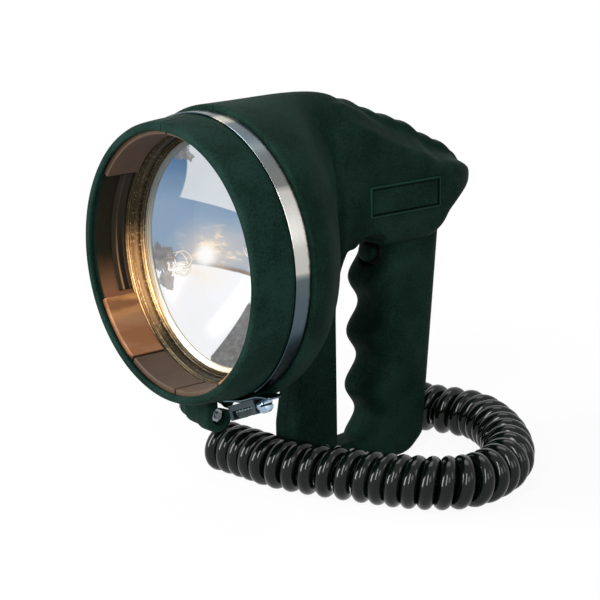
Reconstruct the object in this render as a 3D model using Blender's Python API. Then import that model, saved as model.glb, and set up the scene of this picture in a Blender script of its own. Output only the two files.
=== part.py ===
"""Hand-held searchlight with a D-shaped handle, a steel band and a curly cord.

Metres, +Z up. The lamp looks along -Y and stands on z = 0. Depths are measured
backwards from the front lip, heights from the lamp's own axis.
"""
import math

import bpy
import bmesh
from mathutils import Matrix, Vector

for old in list(bpy.data.objects):
    bpy.data.objects.remove(old, do_unlink=True)

# General sizes
overall_depth = 0.194
axis_height = 0.1205
gap = 0.0003
seam_gap = 0.0003
overrun = 0.004
head_steps = 48
lamp_steps = 36
fine_steps = 20
small_steps = 10

# Head: its largest radius behind the steel band, and the steps inwards from it
rear_radius = 0.0716
rear_round = 0.0008
wall = 0.0040
shroud_step = 0.0037
lip_taper = 0.0020
lip_step = 0.0016
lip_round = 0.0010
lip_depth = 0.0018
groove_sink = 0.0002
band_front_depth = 0.0210
band_width = 0.0090
band_thickness = 0.0008

# Lamp seat inside the head
seat_step = 0.0053
seat_ledge = 0.0026
seat_front_depth = 0.0337
seat_depth = 0.0380
seat_flange = 0.0030

# Hood over the handle
hood_start_depth = 0.0860
hood_half_width = 0.0240
hood_underside = -0.0060
ridge_half_width = 0.0080
ridge_height = 0.0062
ridge_round = 0.0024
cavity_end_wall = 0.0140

# Handle grip, column under the head, and the base that joins them
grip_half_width = 0.0160
grip_corner = 0.0120
hood_overhang = 0.0245
grip_thickness = 0.0443
grip_lean = 0.0050
grip_rear_lean = 0.0125
heel_cut_height = 0.0086
heel_cut = 0.0095
finger_pitch = 0.0287
finger_swell = 0.0038
first_bump_height = -0.0270
grip_top_height = 0.0120
sole_round = 0.0030
column_half_width = 0.0095
column_corner = 0.0035
column_front_depth = 0.0705
column_top_front_depth = 0.0745
column_rear_depth = 0.0990
column_top_half_width = 0.0215
column_top_height = 0.0150
column_flare_height = -0.0020
column_neck_height = -0.0450
base_thickness = 0.0115

# Boss that bolts the two halves together under the band
boss_depth = 0.0220
boss_drop = 0.0078
boss_radius = 0.0082
boss_near_x = 0.0100
boss_far_x = -0.0170
boss_step_shares = [(1.00, 0.36), (0.80, 0.40), (0.55, 0.24)]
boss_round = 0.0010
bolt_radius = 0.0018
bolt_head_radius = 0.0034
bolt_head_length = 0.0020
nut_recess_radius = 0.0046
nut_recess_depth = 0.0055
nut_radius = 0.0040
nut_length = 0.0026
bolt_stick_out = 0.0018

# Self-tapping screws that close the housing, driven from the far side
screw_shank_radius = 0.0016
screw_head_radius = 0.0032
screw_head_length = 0.0022
screw_seat_x = -0.0060
screw_tip_x = 0.0110
screw_slot_width = 0.0009
screw_slot_depth = 0.0010
screw_boss_radius = 0.0046
screw_boss_length = 0.0340

# Blank raised panel on the near side of the hood
panel_along_share = 0.4213
panel_up_share = 0.3067
panel_length = 0.0480
panel_width = 0.0155
panel_rise = 0.0007

# Cavity of the grip, button and switch
cavity_half_width = 0.0090
cavity_front_wall = 0.0068
cavity_rear_wall = 0.0095
cavity_floor_height = -0.1030
button_height = -0.0130
button_radius = 0.0052
button_travel = 0.0030
button_stick_out = 0.0034
button_flange_radius = 0.0066
button_flange = 0.0012
collar_radius = 0.0078
collar_thickness = 0.0016
switch_width = 0.0140
switch_length = 0.0150
switch_tall = 0.0200
spring_radius = 0.0036
spring_wire = 0.0008
spring_turns = 4

# Lamp unit
ring_play = 0.0005
ring_width = 0.0088
ring_front_depth = 0.0220
ring_thickness = 0.0012
lens_thickness = 0.0026
lens_bulge = 0.0030
reflector_thickness = 0.0010
reflector_apex_depth = 0.0660
mouth_play = 0.0015
neck_radius = 0.0112
gasket_thickness = 0.0008
holder_length = 0.0110
holder_wall = 0.0012
bulb_radius = 0.0055
bulb_length = 0.0210
bulb_base_radius = 0.0088
bulb_base_length = 0.0070
filament_radius = 0.0011
filament_wire = 0.0004
filament_length = 0.0055
filament_turns = 4
clip_wire = 0.0006
terminal_length = 0.0060
terminal_width = 0.0050
terminal_thickness = 0.0010
lead_radius = 0.0010

# Pads and clips on the inner wall of the shroud, angles from +X towards the top
pad_thickness = 0.0032
pad_front_depth = 0.0024
pad_edges_deg = [90.0, 35.0, -24.5, -57.5, -90.0]
pad_gap_deg = 0.6
clip_thickness = 0.0007
clip_front_depth = 0.0105
clip_margin_deg = 2.0

# Band clamp
clamp_angle_deg = -68.0
band_steps = 48
band_overlap_deg = 11.0
tail_length = 0.0290
tail_spring = 0.0050
tail_clearance = 0.0011
saddle_width = 0.0086
saddle_half_length = 0.0102
saddle_wall = 0.0008
saddle_height = 0.0072
worm_radius = 0.0030
worm_root_radius = 0.0023
worm_pitch = 0.0024
worm_neck_radius = 0.0019
screw_key_radius = 0.0036
screw_key_length = 0.0046
screw_key_slot_width = 0.0010
screw_key_slot_depth = 0.0013

# Curly cord
cord_diameter = 0.0068
coil_radius = 0.0130
coil_lift = 0.0002
curl_points = 8
cord_far_route = [(-0.0410, 0.1755), (-0.0230, 0.1757), (-0.0070, 0.1765), (0.0050, 0.1805), (0.0150, 0.1835)]
cord_side_route = [(0.0270, 0.1835), (0.0480, 0.1745), (0.0710, 0.1590), (0.0875, 0.1415), (0.0952, 0.1220)]
cord_bend_route = [(0.0950, 0.1060), (0.0860, 0.0930), (0.0720, 0.0830), (0.0560, 0.0755), (0.0370, 0.0670)]
cord_near_route = [(0.0200, 0.0605), (0.0070, 0.0572), (-0.0050, 0.0567), (-0.0175, 0.0560), (-0.0310, 0.0548)]
curl_pitch = 0.0100
least_curl_spacing = 0.0076
curl_pitch_shares = [
    (0.0, 1.00), (0.25, 1.04), (0.30, 1.14), (0.45, 1.14), (0.52, 0.85), (0.63, 0.76), (0.68, 0.90),
    (0.73, 1.14), (0.80, 1.05), (0.86, 0.90), (1.0, 0.80)]
tail_route = [(-0.0335, 0.0640), (-0.0312, 0.0740), (-0.0262, 0.0830), (-0.0222, 0.0905)]
exit_root_x = -0.0100
exit_set_back = 0.0250
exit_lift = 0.0190
exit_angle_deg = 148.0
exit_boss_radius = 0.0078
exit_boss_length = 0.0085
gland_radius = 0.0070
gland_length = 0.0036
boot_radius = 0.0055
boot_tip_radius = 0.0042
boot_length = 0.0100
boot_ribs = 3
plug_radius = 0.0075
plug_x = -0.0300
plug_start_depth = 0.1030
plug_turn_deg = 140.0
plug_boot_length = 0.0110
plug_body_length = 0.0240
plug_ribs = 5
plug_rib_height = 0.0006
plug_nose_radius = 0.0060
plug_nose_length = 0.0105
plug_ring_thickness = 0.0005
plug_pin_radius = 0.0020
plug_pin_length = 0.0030


def spot(x, depth, height):
    return Vector((x, depth - overall_depth / 2, axis_height + height))


def finish(name, verts, faces, look):
    """Makes one object from points and faces, facing outwards, and gives it its material."""
    mesh = bpy.data.meshes.new(name)
    mesh.from_pydata([tuple(v) for v in verts], [], faces)
    shape = bmesh.new()
    shape.from_mesh(mesh)
    bmesh.ops.recalc_face_normals(shape, faces=shape.faces)
    shape.to_mesh(mesh)
    shape.free()
    mesh.shade_smooth()
    mesh.set_sharp_from_angle(angle=math.radians(35))
    piece = bpy.data.objects.new(name, mesh)
    bpy.context.scene.collection.objects.link(piece)
    if look is None:
        piece.hide_render = True
        piece.display_type = "WIRE"
    else:
        mesh.materials.append(material(name, *look))
    return piece


def material(name, colour, roughness, metallic):
    made = bpy.data.materials.new(name)
    made.use_nodes = True
    shader = made.node_tree.nodes["Principled BSDF"]
    shader.inputs["Base Color"].default_value = (*colour, 1.0)
    shader.inputs["Roughness"].default_value = roughness
    shader.inputs["Metallic"].default_value = metallic
    return made


def turned(name, outline, look=None, steps=fine_steps, centre=None, axis=(0, 1, 0)):
    """Turns a closed outline of (radius, distance along the axis) once round its axis."""
    along = Vector(axis).normalized()
    side = Vector((1, 0, 0)) if abs(along.x) < 0.7 else Vector((0, 1, 0))
    up = along.cross(side).normalized()
    side = up.cross(along).normalized()
    middle = spot(0, 0, 0) if centre is None else Vector(centre)
    verts = []
    rings = []
    for radius, distance in outline:
        start = len(verts)
        count = steps if radius > 0 else 1
        for k in range(count):
            turn = 2 * math.pi * (k + 0.5) / steps
            out = side * math.cos(turn) + up * math.sin(turn)
            verts.append(middle + along * distance + out * radius)
        rings.append([start + k % count for k in range(steps)])
    faces = []
    for one, two in zip(rings, rings[1:] + rings[:1]):
        for k in range(steps):
            corners = [one[k], one[(k + 1) % steps], two[(k + 1) % steps], two[k]]
            kept = list(dict.fromkeys(corners))
            if len(kept) > 2:
                faces.append(kept)
    return finish(name, verts, faces, look)


def lofted(name, rings, look=None):
    """Bridges rings with equal numbers of points and caps both ends."""
    count = len(rings[0])
    verts = [point for ring in rings for point in ring]
    faces = [list(range(count)), list(range(len(verts) - count, len(verts)))]
    for k in range(len(rings) - 1):
        for j in range(count):
            here = k * count + j
            after = k * count + (j + 1) % count
            faces.append([here, after, after + count, here + count])
    return finish(name, verts, faces, look)


def block(name, low, high, look=None, frame=None):
    """A box between two corners, in the world or in a local frame."""
    corners = [(x, y, z) for x in (low[0], high[0]) for y in (low[1], high[1]) for z in (low[2], high[2])]
    faces = [[0, 1, 3, 2], [4, 6, 7, 5], [0, 4, 5, 1], [2, 3, 7, 6], [0, 2, 6, 4], [1, 5, 7, 3]]
    points = [Vector(corner) if frame is None else frame @ Vector(corner) for corner in corners]
    return finish(name, points, faces, look)


def tube(name, points, radius, look, resolution=2):
    """A round solid tube along the points, with closed ends."""
    curve = bpy.data.curves.new(name, "CURVE")
    curve.dimensions = "3D"
    curve.bevel_depth = radius
    curve.bevel_resolution = resolution
    curve.use_fill_caps = True
    curve.twist_mode = "MINIMUM"
    line = curve.splines.new("POLY")
    line.points.add(len(points) - 1)
    for place, point in zip(line.points, points):
        place.co = (*point, 1.0)
    curve.materials.append(material(name, *look))
    piece = bpy.data.objects.new(name, curve)
    bpy.context.scene.collection.objects.link(piece)
    return piece


def boolean(target, tool, operation, solver="EXACT"):
    step = target.modifiers.new(operation.lower() + "_" + tool.name, "BOOLEAN")
    step.operation = operation
    step.object = tool
    step.solver = solver
    return target


def cut(target, *tools, solver="EXACT"):
    for tool in tools:
        boolean(target, tool, "DIFFERENCE", solver)
    return target


def join(target, *tools, solver="EXACT"):
    for tool in tools:
        boolean(target, tool, "UNION", solver)
    return target


def smooth_line(points, parts):
    """Points on a smooth curve through the given ones, with the given steps per stretch."""
    padded = [points[0] * 2 - points[1]] + points + [points[-1] * 2 - points[-2]]
    made = []
    for a, b, c, d in zip(padded, padded[1:], padded[2:], padded[3:]):
        for k in range(parts):
            t = k / parts
            made.append(0.5 * (2 * b + (c - a) * t + (2 * a - 5 * b + 4 * c - d) * t ** 2
                               + (3 * b - 3 * c + d - a) * t ** 3))
    return made + [points[-1].copy()]


def rounded_ring(half_width, low, high, corner, level, across="depth"):
    """A rectangle with round corners; level is its height, or its depth where it stands upright."""
    points = []
    corner_steps = 3
    corner = min(corner, half_width, (high - low) / 2)
    for sx, sy, first in ((1, 1, 0), (-1, 1, 1), (-1, -1, 2), (1, -1, 3)):
        cx = sx * (half_width - corner)
        cy = (high - corner) if sy > 0 else (low + corner)
        for k in range(corner_steps + 1):
            turn = math.pi / 2 * (first + k / corner_steps)
            x = cx + corner * math.cos(turn)
            y = cy + corner * math.sin(turn)
            points.append(spot(x, y, level) if across == "depth" else spot(x, level, y))
    return points


rubber = ((0.010, 0.030, 0.027), 0.55, 0.0)
steel = ((0.62, 0.61, 0.58), 0.28, 1.0)
zinc = ((0.55, 0.57, 0.60), 0.35, 1.0)
bronze = ((0.42, 0.27, 0.14), 0.38, 0.9)
pad_brown = ((0.10, 0.05, 0.03), 0.60, 0.0)
black_pvc = ((0.006, 0.008, 0.007), 0.22, 0.0)
black_plastic = ((0.010, 0.012, 0.012), 0.50, 0.0)
mirror = ((0.86, 0.88, 0.90), 0.06, 1.0)
clear = ((0.88, 0.92, 0.95), 0.04, 0.0)
brass = ((0.66, 0.48, 0.20), 0.30, 1.0)
tungsten = ((0.30, 0.29, 0.28), 0.45, 1.0)
grey_plastic = ((0.30, 0.30, 0.29), 0.50, 0.0)
red_wire = ((0.35, 0.03, 0.03), 0.45, 0.0)
dark_seal = ((0.02, 0.02, 0.02), 0.70, 0.0)

ground = -axis_height
shroud_radius = rear_radius - shroud_step
lip_outer_radius = shroud_radius - lip_taper
bore_radius = shroud_radius - wall
lip_inner_radius = bore_radius - lip_step
seat_radius = bore_radius - seat_step
seat_opening_radius = seat_radius - seat_ledge
ring_outer_radius = bore_radius - ring_play
ring_inner_radius = ring_outer_radius - ring_width
lens_radius = seat_radius - 2 * gap
reflector_mouth_radius = seat_opening_radius - mouth_play
boss_height = -shroud_radius - boss_drop
hood_top = rear_radius
grip_rear_depth = overall_depth - hood_overhang
grip_front_depth = grip_rear_depth - grip_thickness
cavity_front_depth = grip_front_depth + cavity_front_wall
cavity_rear_depth = grip_rear_depth - cavity_rear_wall
cavity_end_depth = overall_depth - cavity_end_wall
button_front_depth = grip_front_depth - button_stick_out
exit_root_depth = grip_rear_depth - exit_set_back
band_rear_depth = band_front_depth + band_width
groove_front_depth = band_front_depth - gap
groove_rear_depth = band_rear_depth + gap
band_inner_radius = shroud_radius + gap
band_outer_radius = band_inner_radius + band_thickness
slot_radius = band_outer_radius + 2 * gap
head_back_length = hood_start_depth - groove_rear_depth
hood_length = overall_depth - hood_start_depth
hood_rise = hood_top - hood_underside
panel_depth = hood_start_depth + hood_length * panel_along_share
panel_height = hood_underside + hood_rise * panel_up_share

# Sections of the head's back: place along it, half width, top and underside as
# shares of the rear radius, and how far the hood's form has taken over
head_back_shares = [
    (0.00, 1.000, 1.000, -1.000, 0.00), (0.20, 0.966, 1.003, -0.982, 0.00),
    (0.39, 0.873, 1.008, -0.922, 0.00), (0.57, 0.735, 1.015, -0.796, 0.05),
    (0.71, 0.600, 1.020, -0.642, 0.20), (0.86, 0.480, 1.020, -0.419, 0.45),
    (1.00, 0.391, 1.015, -0.168, 0.70)]
# Sections of the hood: place along it, half width, top and underside as shares
# of its width and rise, and the share of the ridge's height
hood_shares = [
    (0.083, 1.04, 1.000, 0.000, 0.10), (0.167, 1.00, 0.970, 0.000, 0.20),
    (0.259, 1.00, 0.928, 0.000, 0.40), (0.370, 1.00, 0.862, 0.000, 0.70),
    (0.509, 1.00, 0.795, 0.000, 1.00), (0.602, 1.00, 0.745, 0.000, 1.00),
    (0.685, 0.98, 0.672, 0.052, 1.00), (0.741, 0.93, 0.642, 0.129, 0.95),
    (0.787, 0.90, 0.614, 0.180, 0.90), (0.833, 0.84, 0.584, 0.222, 0.80),
    (0.880, 0.75, 0.545, 0.258, 0.65), (0.926, 0.61, 0.490, 0.290, 0.45),
    (0.963, 0.45, 0.435, 0.312, 0.20), (0.991, 0.27, 0.395, 0.325, 0.00),
    (1.000, 0.12, 0.375, 0.335, 0.00)]
# Half outline of the hood from its shoulder to its underside: share of the half
# width, then how far down it lies as a share of the height under the ridge
hood_side_shares = [
    (0.70, 0.085), (0.88, 0.15), (0.97, 0.24), (1.0, 0.36), (1.0, 0.55), (1.0, 0.72),
    (0.985, 0.85), (0.94, 0.935), (0.85, 0.985), (0.62, 1.0), (0.30, 1.0), (0.0, 1.0)]


def body_section(depth, width, top, under, form, ridge, inset):
    """One ring of the body: a circle-like ring that turns into the hood's ridged outline."""
    width = width - inset
    top = top - inset
    under = under + inset
    reach = min(1.0, width / hood_half_width)
    ridge_half = ridge_half_width * reach
    ridge_drop = ridge_height * ridge
    shoulder = ridge_round * reach
    hood_half = [(0.0, top), (0.5 * ridge_half, top - 0.2 * shoulder), (ridge_half, top - shoulder),
                 (ridge_half + 0.5 * shoulder, top - shoulder - 0.7 * ridge_drop),
                 (ridge_half + 1.4 * shoulder, top - shoulder - ridge_drop)]
    start = top - shoulder - ridge_drop
    for across, down in hood_side_shares:
        hood_half.append((max(width * across, (ridge_half + 1.5 * shoulder) * (down < 0.1)),
                          start + (under - start) * down))
    half = []
    for k, (x, z) in enumerate(hood_half):
        turn = math.pi / 2 - math.pi * k / (len(hood_half) - 1)
        round_z = math.sin(turn) * (top if turn > 0 else -under)
        half.append((x * form + width * math.cos(turn) * (1 - form), z * form + round_z * (1 - form)))
    mirrored = [(-x, z) for x, z in half[-2:0:-1]]
    return [spot(x, depth, z) for x, z in half + mirrored]


def body_sections(inset, first_depth, last_depth):
    rings = []
    for along, width, top, under, form in head_back_shares:
        depth = groove_rear_depth + along * head_back_length
        if first_depth <= depth <= last_depth:
            rings.append(body_section(depth, width * rear_radius, top * rear_radius,
                                      under * rear_radius, form, 0.0, inset))
    for along, width, top, under, ridge in hood_shares:
        depth = hood_start_depth + along * hood_length
        if first_depth <= depth <= last_depth:
            form = 0.9 if along == hood_shares[0][0] else 1.0
            rings.append(body_section(depth, width * hood_half_width, hood_underside + top * hood_rise,
                                      hood_underside + under * hood_rise, form, ridge, inset))
    return rings


def grip_front(height):
    lean = (first_bump_height - height) / (first_bump_height - ground) * grip_lean
    wave = math.cos(2 * math.pi * (height - first_bump_height) / finger_pitch)
    return grip_front_depth - lean - finger_swell * wave


def grip_rear(height):
    cut_off = heel_cut * max(0.0, 1 - (height - ground) / heel_cut_height)
    return grip_rear_depth + height / -ground * grip_rear_lean - cut_off


def grip_rings():
    rings = []
    step = finger_pitch / 5
    count = int((grip_top_height - ground - sole_round) / step) + 1
    for k in range(count + 1):
        height = grip_top_height + (ground + sole_round - grip_top_height) * k / count
        rings.append(rounded_ring(grip_half_width, grip_front(height), grip_rear(height),
                                  grip_corner, height))
    for down, inset in ((0.7, 0.3), (1.0, 1.0)):
        height = ground + sole_round * (1 - down)
        rings.append(rounded_ring(grip_half_width - sole_round * inset, grip_front(height),
                                  grip_rear(height) - sole_round * inset, grip_corner, height))
    return rings


def column_rings():
    rings = []
    steps = 6
    for k in range(steps + 1):
        share = k / steps
        height = column_flare_height + (column_neck_height - column_flare_height) * share
        half = column_half_width + (column_top_half_width - column_half_width) * (1 - share) ** 2.5
        rings.append((height, half, column_top_front_depth, 0.0))
    rings.insert(0, (column_top_height, column_top_half_width, column_top_front_depth, 0.0))
    rings.append((-rear_radius, column_half_width, column_top_front_depth, 0.0))
    rings.append((-rear_radius * 1.3, column_half_width, column_front_depth, 0.0))
    rings.append((ground + sole_round, column_half_width, column_front_depth, 0.0))
    rings.append((ground, column_half_width, column_front_depth, sole_round))
    return [rounded_ring(half - inset / 2, front + inset, column_rear_depth, column_corner, height)
            for height, half, front, inset in rings]


def base_rings():
    middle = (column_front_depth + column_rear_depth) / 2
    heel = grip_front_depth + grip_corner
    rings = []
    for share in (0.0, 0.35, 0.6, 0.8, 1.0):
        depth = middle + (heel - middle) * share
        half = column_half_width + (grip_half_width - column_half_width) * share ** 2 - sole_round / 2
        rings.append(rounded_ring(half, ground, ground + base_thickness, sole_round, depth, "height"))
    return rings


def groove_ring(name, inner, outer):
    outline = [(inner, groove_front_depth), (outer, groove_front_depth),
               (outer, groove_rear_depth + groove_sink), (inner, groove_rear_depth + groove_sink)]
    return turned(name, outline, steps=head_steps)


# Housing: one blank for both halves, then each half is what lies on its side
shroud = turned("shroud_blank", [
    (0.0, 0.0), (lip_inner_radius, 0.0), (lip_outer_radius, 0.0), (lip_outer_radius + lip_round, lip_round),
    (shroud_radius, groove_front_depth / 2), (shroud_radius + groove_sink, groove_front_depth * 0.9),
    (shroud_radius + groove_sink, groove_rear_depth + rear_round + gap),
    (0.0, groove_rear_depth + rear_round + gap)], steps=head_steps)
body = lofted("body_blank", body_sections(0.0, 0.0, overall_depth))
grip = lofted("grip_blank", grip_rings())
column = lofted("column_blank", column_rings())
base = lofted("base_blank", base_rings())
boss_length = boss_near_x - boss_far_x
boss_outline = [(0.0, boss_near_x), (boss_radius - boss_round, boss_near_x), (boss_radius, boss_near_x - boss_round)]
boss_edge = boss_near_x
for radius_share, length_share in boss_step_shares:
    boss_edge -= boss_length * length_share
    boss_outline.append((boss_radius * radius_share, boss_edge + boss_round))
    boss_outline.append((boss_radius * radius_share - boss_round, boss_edge))
boss_outline.append((0.0, boss_far_x))
boss_centre = spot(0, boss_depth, boss_height)
boss = turned("boss_blank", boss_outline, centre=boss_centre, axis=(1, 0, 0), steps=20)
boss_web = block("boss_web_blank",
                 spot(boss_far_x * 0.7, boss_depth - boss_radius * 0.8, boss_height + boss_radius * 0.3),
                 spot(boss_near_x - boss_round * 2, groove_rear_depth + rear_round / 2, -shroud_radius + wall / 2))
panel = block("panel_blank", spot(hood_half_width - wall / 2, panel_depth - panel_length / 2,
                                  panel_height - panel_width / 2),
              spot(hood_half_width + panel_rise, panel_depth + panel_length / 2, panel_height + panel_width / 2))
exit_turn = math.radians(exit_angle_deg)
exit_way = Vector((math.cos(exit_turn), math.sin(exit_turn), 0))
exit_root = spot(exit_root_x, exit_root_depth, ground + exit_lift)
exit_boss = turned("exit_boss_blank", [(0.0, 0.0), (exit_boss_radius, 0.0), (exit_boss_radius, exit_boss_length),
                                       (0.0, exit_boss_length)], centre=exit_root, axis=exit_way, steps=20)

bore_start = -overrun
front_bore = turned("front_bore_cutter", [
    (0.0, bore_start), (lip_inner_radius, bore_start), (lip_inner_radius, lip_depth),
    (bore_radius, lip_depth + lip_round), (bore_radius, seat_front_depth), (seat_radius, seat_front_depth),
    (seat_radius, seat_depth), (seat_opening_radius, seat_depth),
    (seat_opening_radius, seat_depth + seat_flange + overrun), (0.0, seat_depth + seat_flange + overrun)],
    steps=head_steps)
bowl = lofted("bowl_cutter", body_sections(wall, seat_depth + seat_flange, cavity_end_depth))
grip_cavity = lofted("grip_cavity_cutter", [
    rounded_ring(cavity_half_width, cavity_front_depth, cavity_rear_depth, wall, hood_underside + 2 * wall),
    rounded_ring(cavity_half_width, cavity_front_depth - grip_lean, cavity_rear_depth - grip_rear_lean, wall,
                 cavity_floor_height)])
groove = groove_ring("groove_cutter", shroud_radius, slot_radius)
bolt_hole = turned("bolt_hole_cutter", [
    (0.0, boss_far_x - overrun), (bolt_radius + gap, boss_far_x - overrun),
    (bolt_radius + gap, boss_near_x - nut_recess_depth), (nut_recess_radius, boss_near_x - nut_recess_depth),
    (nut_recess_radius, boss_near_x + overrun), (0.0, boss_near_x + overrun)],
    centre=boss_centre, axis=(1, 0, 0), steps=20)
exit_hole = turned("exit_hole_cutter", [
    (0.0, -grip_half_width), (cord_diameter / 2 + gap, -grip_half_width),
    (cord_diameter / 2 + gap, exit_boss_length + overrun), (0.0, exit_boss_length + overrun)],
    centre=exit_root, axis=exit_way, steps=small_steps)
button_way = (0, 1, 0)
button_hole = turned("button_hole_cutter", [
    (0.0, button_front_depth - overrun), (collar_radius + gap, button_front_depth - overrun),
    (collar_radius + gap, grip_front(button_height) + collar_thickness),
    (button_radius + gap, grip_front(button_height) + collar_thickness),
    (button_radius + gap, cavity_front_depth + overrun), (0.0, cavity_front_depth + overrun)],
    centre=spot(0, 0, button_height), axis=button_way, steps=20)

# Screws of the hood by its length and rise, the others across what they close and down to the ground
hood_screw_shares = {"hood_front": (0.1667, 0.7216), "hood_rear": (0.7593, 0.2577)}
grip_screw_shares = {"grip": (0.560, 0.4315), "heel": (0.530, 0.9336)}
column_screw_shares = {"foot": (0.509, 0.8714)}
screw_spots = {}
for name, (along, up) in hood_screw_shares.items():
    screw_spots[name] = (hood_start_depth + hood_length * along, hood_underside + hood_rise * up)
for name, (along, down) in grip_screw_shares.items():
    screw_spots[name] = (grip_front_depth + grip_thickness * along, ground * down)
for name, (along, down) in column_screw_shares.items():
    screw_spots[name] = (column_front_depth + (column_rear_depth - column_front_depth) * along, ground * down)
screw_reach_shares = {"hood_front": 1.0, "hood_rear": 0.9, "grip": 0.9, "heel": 0.75, "foot": 0.45}
screw_boss_shares = {"hood_front": 1.22, "hood_rear": 1.22, "grip": 0.75}

# The EXACT solver leaves open slivers in this long chain, so the housing uses the other one
housing_solver = "MANIFOLD"
blank = join(shroud, body, grip, column, base, boss, boss_web, panel, exit_boss, solver=housing_solver)
cut(blank, front_bore, bowl, grip_cavity, solver=housing_solver)
for name, share in screw_boss_shares.items():
    depth, height = screw_spots[name]
    reach = screw_boss_length / 2 * share
    screw_boss = turned("screw_boss_" + name, [
        (0.0, -reach), (screw_boss_radius, -reach), (screw_boss_radius, reach), (0.0, reach)],
        centre=spot(0, depth, height), axis=(1, 0, 0), steps=small_steps)
    join(blank, screw_boss, solver=housing_solver)
cut(blank, groove, bolt_hole, exit_hole, button_hole, solver=housing_solver)
screw_holes = {}
for name, (depth, height) in screw_spots.items():
    share = screw_reach_shares[name]
    screw_holes[name] = turned("screw_hole_" + name, [
        (0.0, -rear_radius), (screw_head_radius + gap, -rear_radius), (screw_head_radius + gap, screw_seat_x * share),
        (screw_shank_radius + gap, screw_seat_x * share), (screw_shank_radius + gap, screw_tip_x * share + gap),
        (0.0, screw_tip_x * share + gap)], centre=spot(0, depth, height), axis=(1, 0, 0), steps=small_steps)
    cut(blank, screw_holes[name], solver=housing_solver)
for piece in (blank, panel):
    piece.hide_render = True
    piece.display_type = "WIRE"

for name, sign in (("right_housing", 1), ("left_housing", -1)):
    inner = sign * seam_gap / 2
    outer = sign * (rear_radius + overrun)
    low = spot(min(inner, outer), -overrun, ground - overrun)
    high = spot(max(inner, outer), overall_depth + overrun, rear_radius * 1.2)
    half = block(name, low, high, rubber)
    boolean(half, blank, "INTERSECT", housing_solver)

# Bolt and nut of the front boss
bolt_seat = boss_far_x - gap
turned("boss_bolt", [
    (0.0, bolt_seat - bolt_head_length), (bolt_head_radius * 0.8, bolt_seat - bolt_head_length),
    (bolt_head_radius, bolt_seat - bolt_head_length / 2), (bolt_head_radius, bolt_seat), (bolt_radius, bolt_seat),
    (bolt_radius, boss_near_x - nut_recess_depth + nut_length + bolt_stick_out),
    (0.0, boss_near_x - nut_recess_depth + nut_length + bolt_stick_out)],
    zinc, centre=boss_centre, axis=(1, 0, 0), steps=small_steps)
nut_seat = boss_near_x - nut_recess_depth + gap
turned("boss_nut", [
    (bolt_radius + gap, nut_seat), (nut_radius, nut_seat), (nut_radius, nut_seat + nut_length * 0.8),
    (nut_radius * 0.85, nut_seat + nut_length), (bolt_radius + gap, nut_seat + nut_length)],
    zinc, centre=boss_centre, axis=(1, 0, 0), steps=6)

# Housing screws
for name, (depth, height) in screw_spots.items():
    share = screw_reach_shares[name]
    seat = screw_seat_x * share - gap
    head = seat - screw_head_length
    middle = spot(0, depth, height)
    screw = turned("housing_screw_" + name, [
        (0.0, head), (screw_head_radius * 0.85, head), (screw_head_radius, head + screw_head_length / 3),
        (screw_head_radius, seat), (screw_shank_radius, seat), (screw_shank_radius, screw_tip_x * share * 0.8),
        (0.0, screw_tip_x * share)], zinc, centre=middle, axis=(1, 0, 0), steps=small_steps)
    slot = block("slot_cutter_" + name, middle + Vector((head - overrun, -screw_head_radius - overrun,
                                                         -screw_slot_width / 2)),
                 middle + Vector((head + screw_slot_depth, screw_head_radius + overrun, screw_slot_width / 2)))
    cut(screw, slot)


def arc_block(name, inner, outer, first_depth, last_depth, first_deg, last_deg, look):
    """A stretch of a ring, swept round the lamp's axis between two angles."""
    steps = max(3, int(abs(last_deg - first_deg) / 6))
    rings = []
    for k in range(steps + 1):
        turn = math.radians(first_deg + (last_deg - first_deg) * k / steps)
        rings.append([spot(radius * math.cos(turn), depth, radius * math.sin(turn))
                      for radius, depth in ((inner, first_depth), (outer, first_depth),
                                            (outer, last_depth), (inner, last_depth))])
    return lofted(name, rings, look)


# Pads and retaining clips inside the shroud, alike on both sides
pad_rear_depth = ring_front_depth - gap
pad_outer = bore_radius - gap
pad_names = {0: "upper", 2: "lower", 3: "bottom"}
for side, mirror_deg in (("right", 0.0), ("left", 180.0)):
    for k, place in pad_names.items():
        first = pad_edges_deg[k] - pad_gap_deg / 2
        last = pad_edges_deg[k + 1] + pad_gap_deg / 2
        if side == "left":
            first, last = mirror_deg - first, mirror_deg - last
        arc_block("pad_" + place + "_" + side, pad_outer - pad_thickness, pad_outer,
                  max(pad_front_depth, lip_depth + lip_round + gap), pad_rear_depth, first, last, pad_brown)
    first = pad_edges_deg[1] - clip_margin_deg
    last = pad_edges_deg[2] + clip_margin_deg
    if side == "left":
        first, last = mirror_deg - first, mirror_deg - last
    arc_block("ring_clip_" + side, pad_outer - clip_thickness, pad_outer,
              clip_front_depth, pad_rear_depth, first, last, bronze)

# Lamp unit, from the front backwards
ring_lip_depth = seat_depth - gasket_thickness - reflector_thickness - lens_thickness - ring_thickness - 4 * gap
turned("retaining_ring", [
    (ring_outer_radius, ring_front_depth), (ring_outer_radius, ring_lip_depth + ring_thickness),
    (ring_inner_radius, ring_lip_depth + ring_thickness), (ring_inner_radius, ring_lip_depth),
    (ring_inner_radius + ring_thickness * 2, ring_lip_depth - ring_thickness),
    (ring_outer_radius - ring_thickness * 4, ring_lip_depth - ring_thickness * 2),
    (ring_outer_radius - ring_thickness * 3, ring_front_depth + ring_thickness * 2),
    (ring_outer_radius - ring_thickness, ring_front_depth + ring_thickness),
    (ring_outer_radius - ring_thickness, ring_front_depth)], bronze, steps=lamp_steps)
lens_rim_depth = ring_lip_depth + ring_thickness + gap
lens_dome_radius = ring_inner_radius - gap * 2
lens_front = []
lens_back = []
for k in range(5):
    radius = lens_dome_radius * k / 4
    sag = lens_bulge * (1 - (k / 4) ** 2)
    lens_front.append((radius, lens_rim_depth - sag))
    lens_back.append((radius, lens_rim_depth - sag + lens_thickness))
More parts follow.
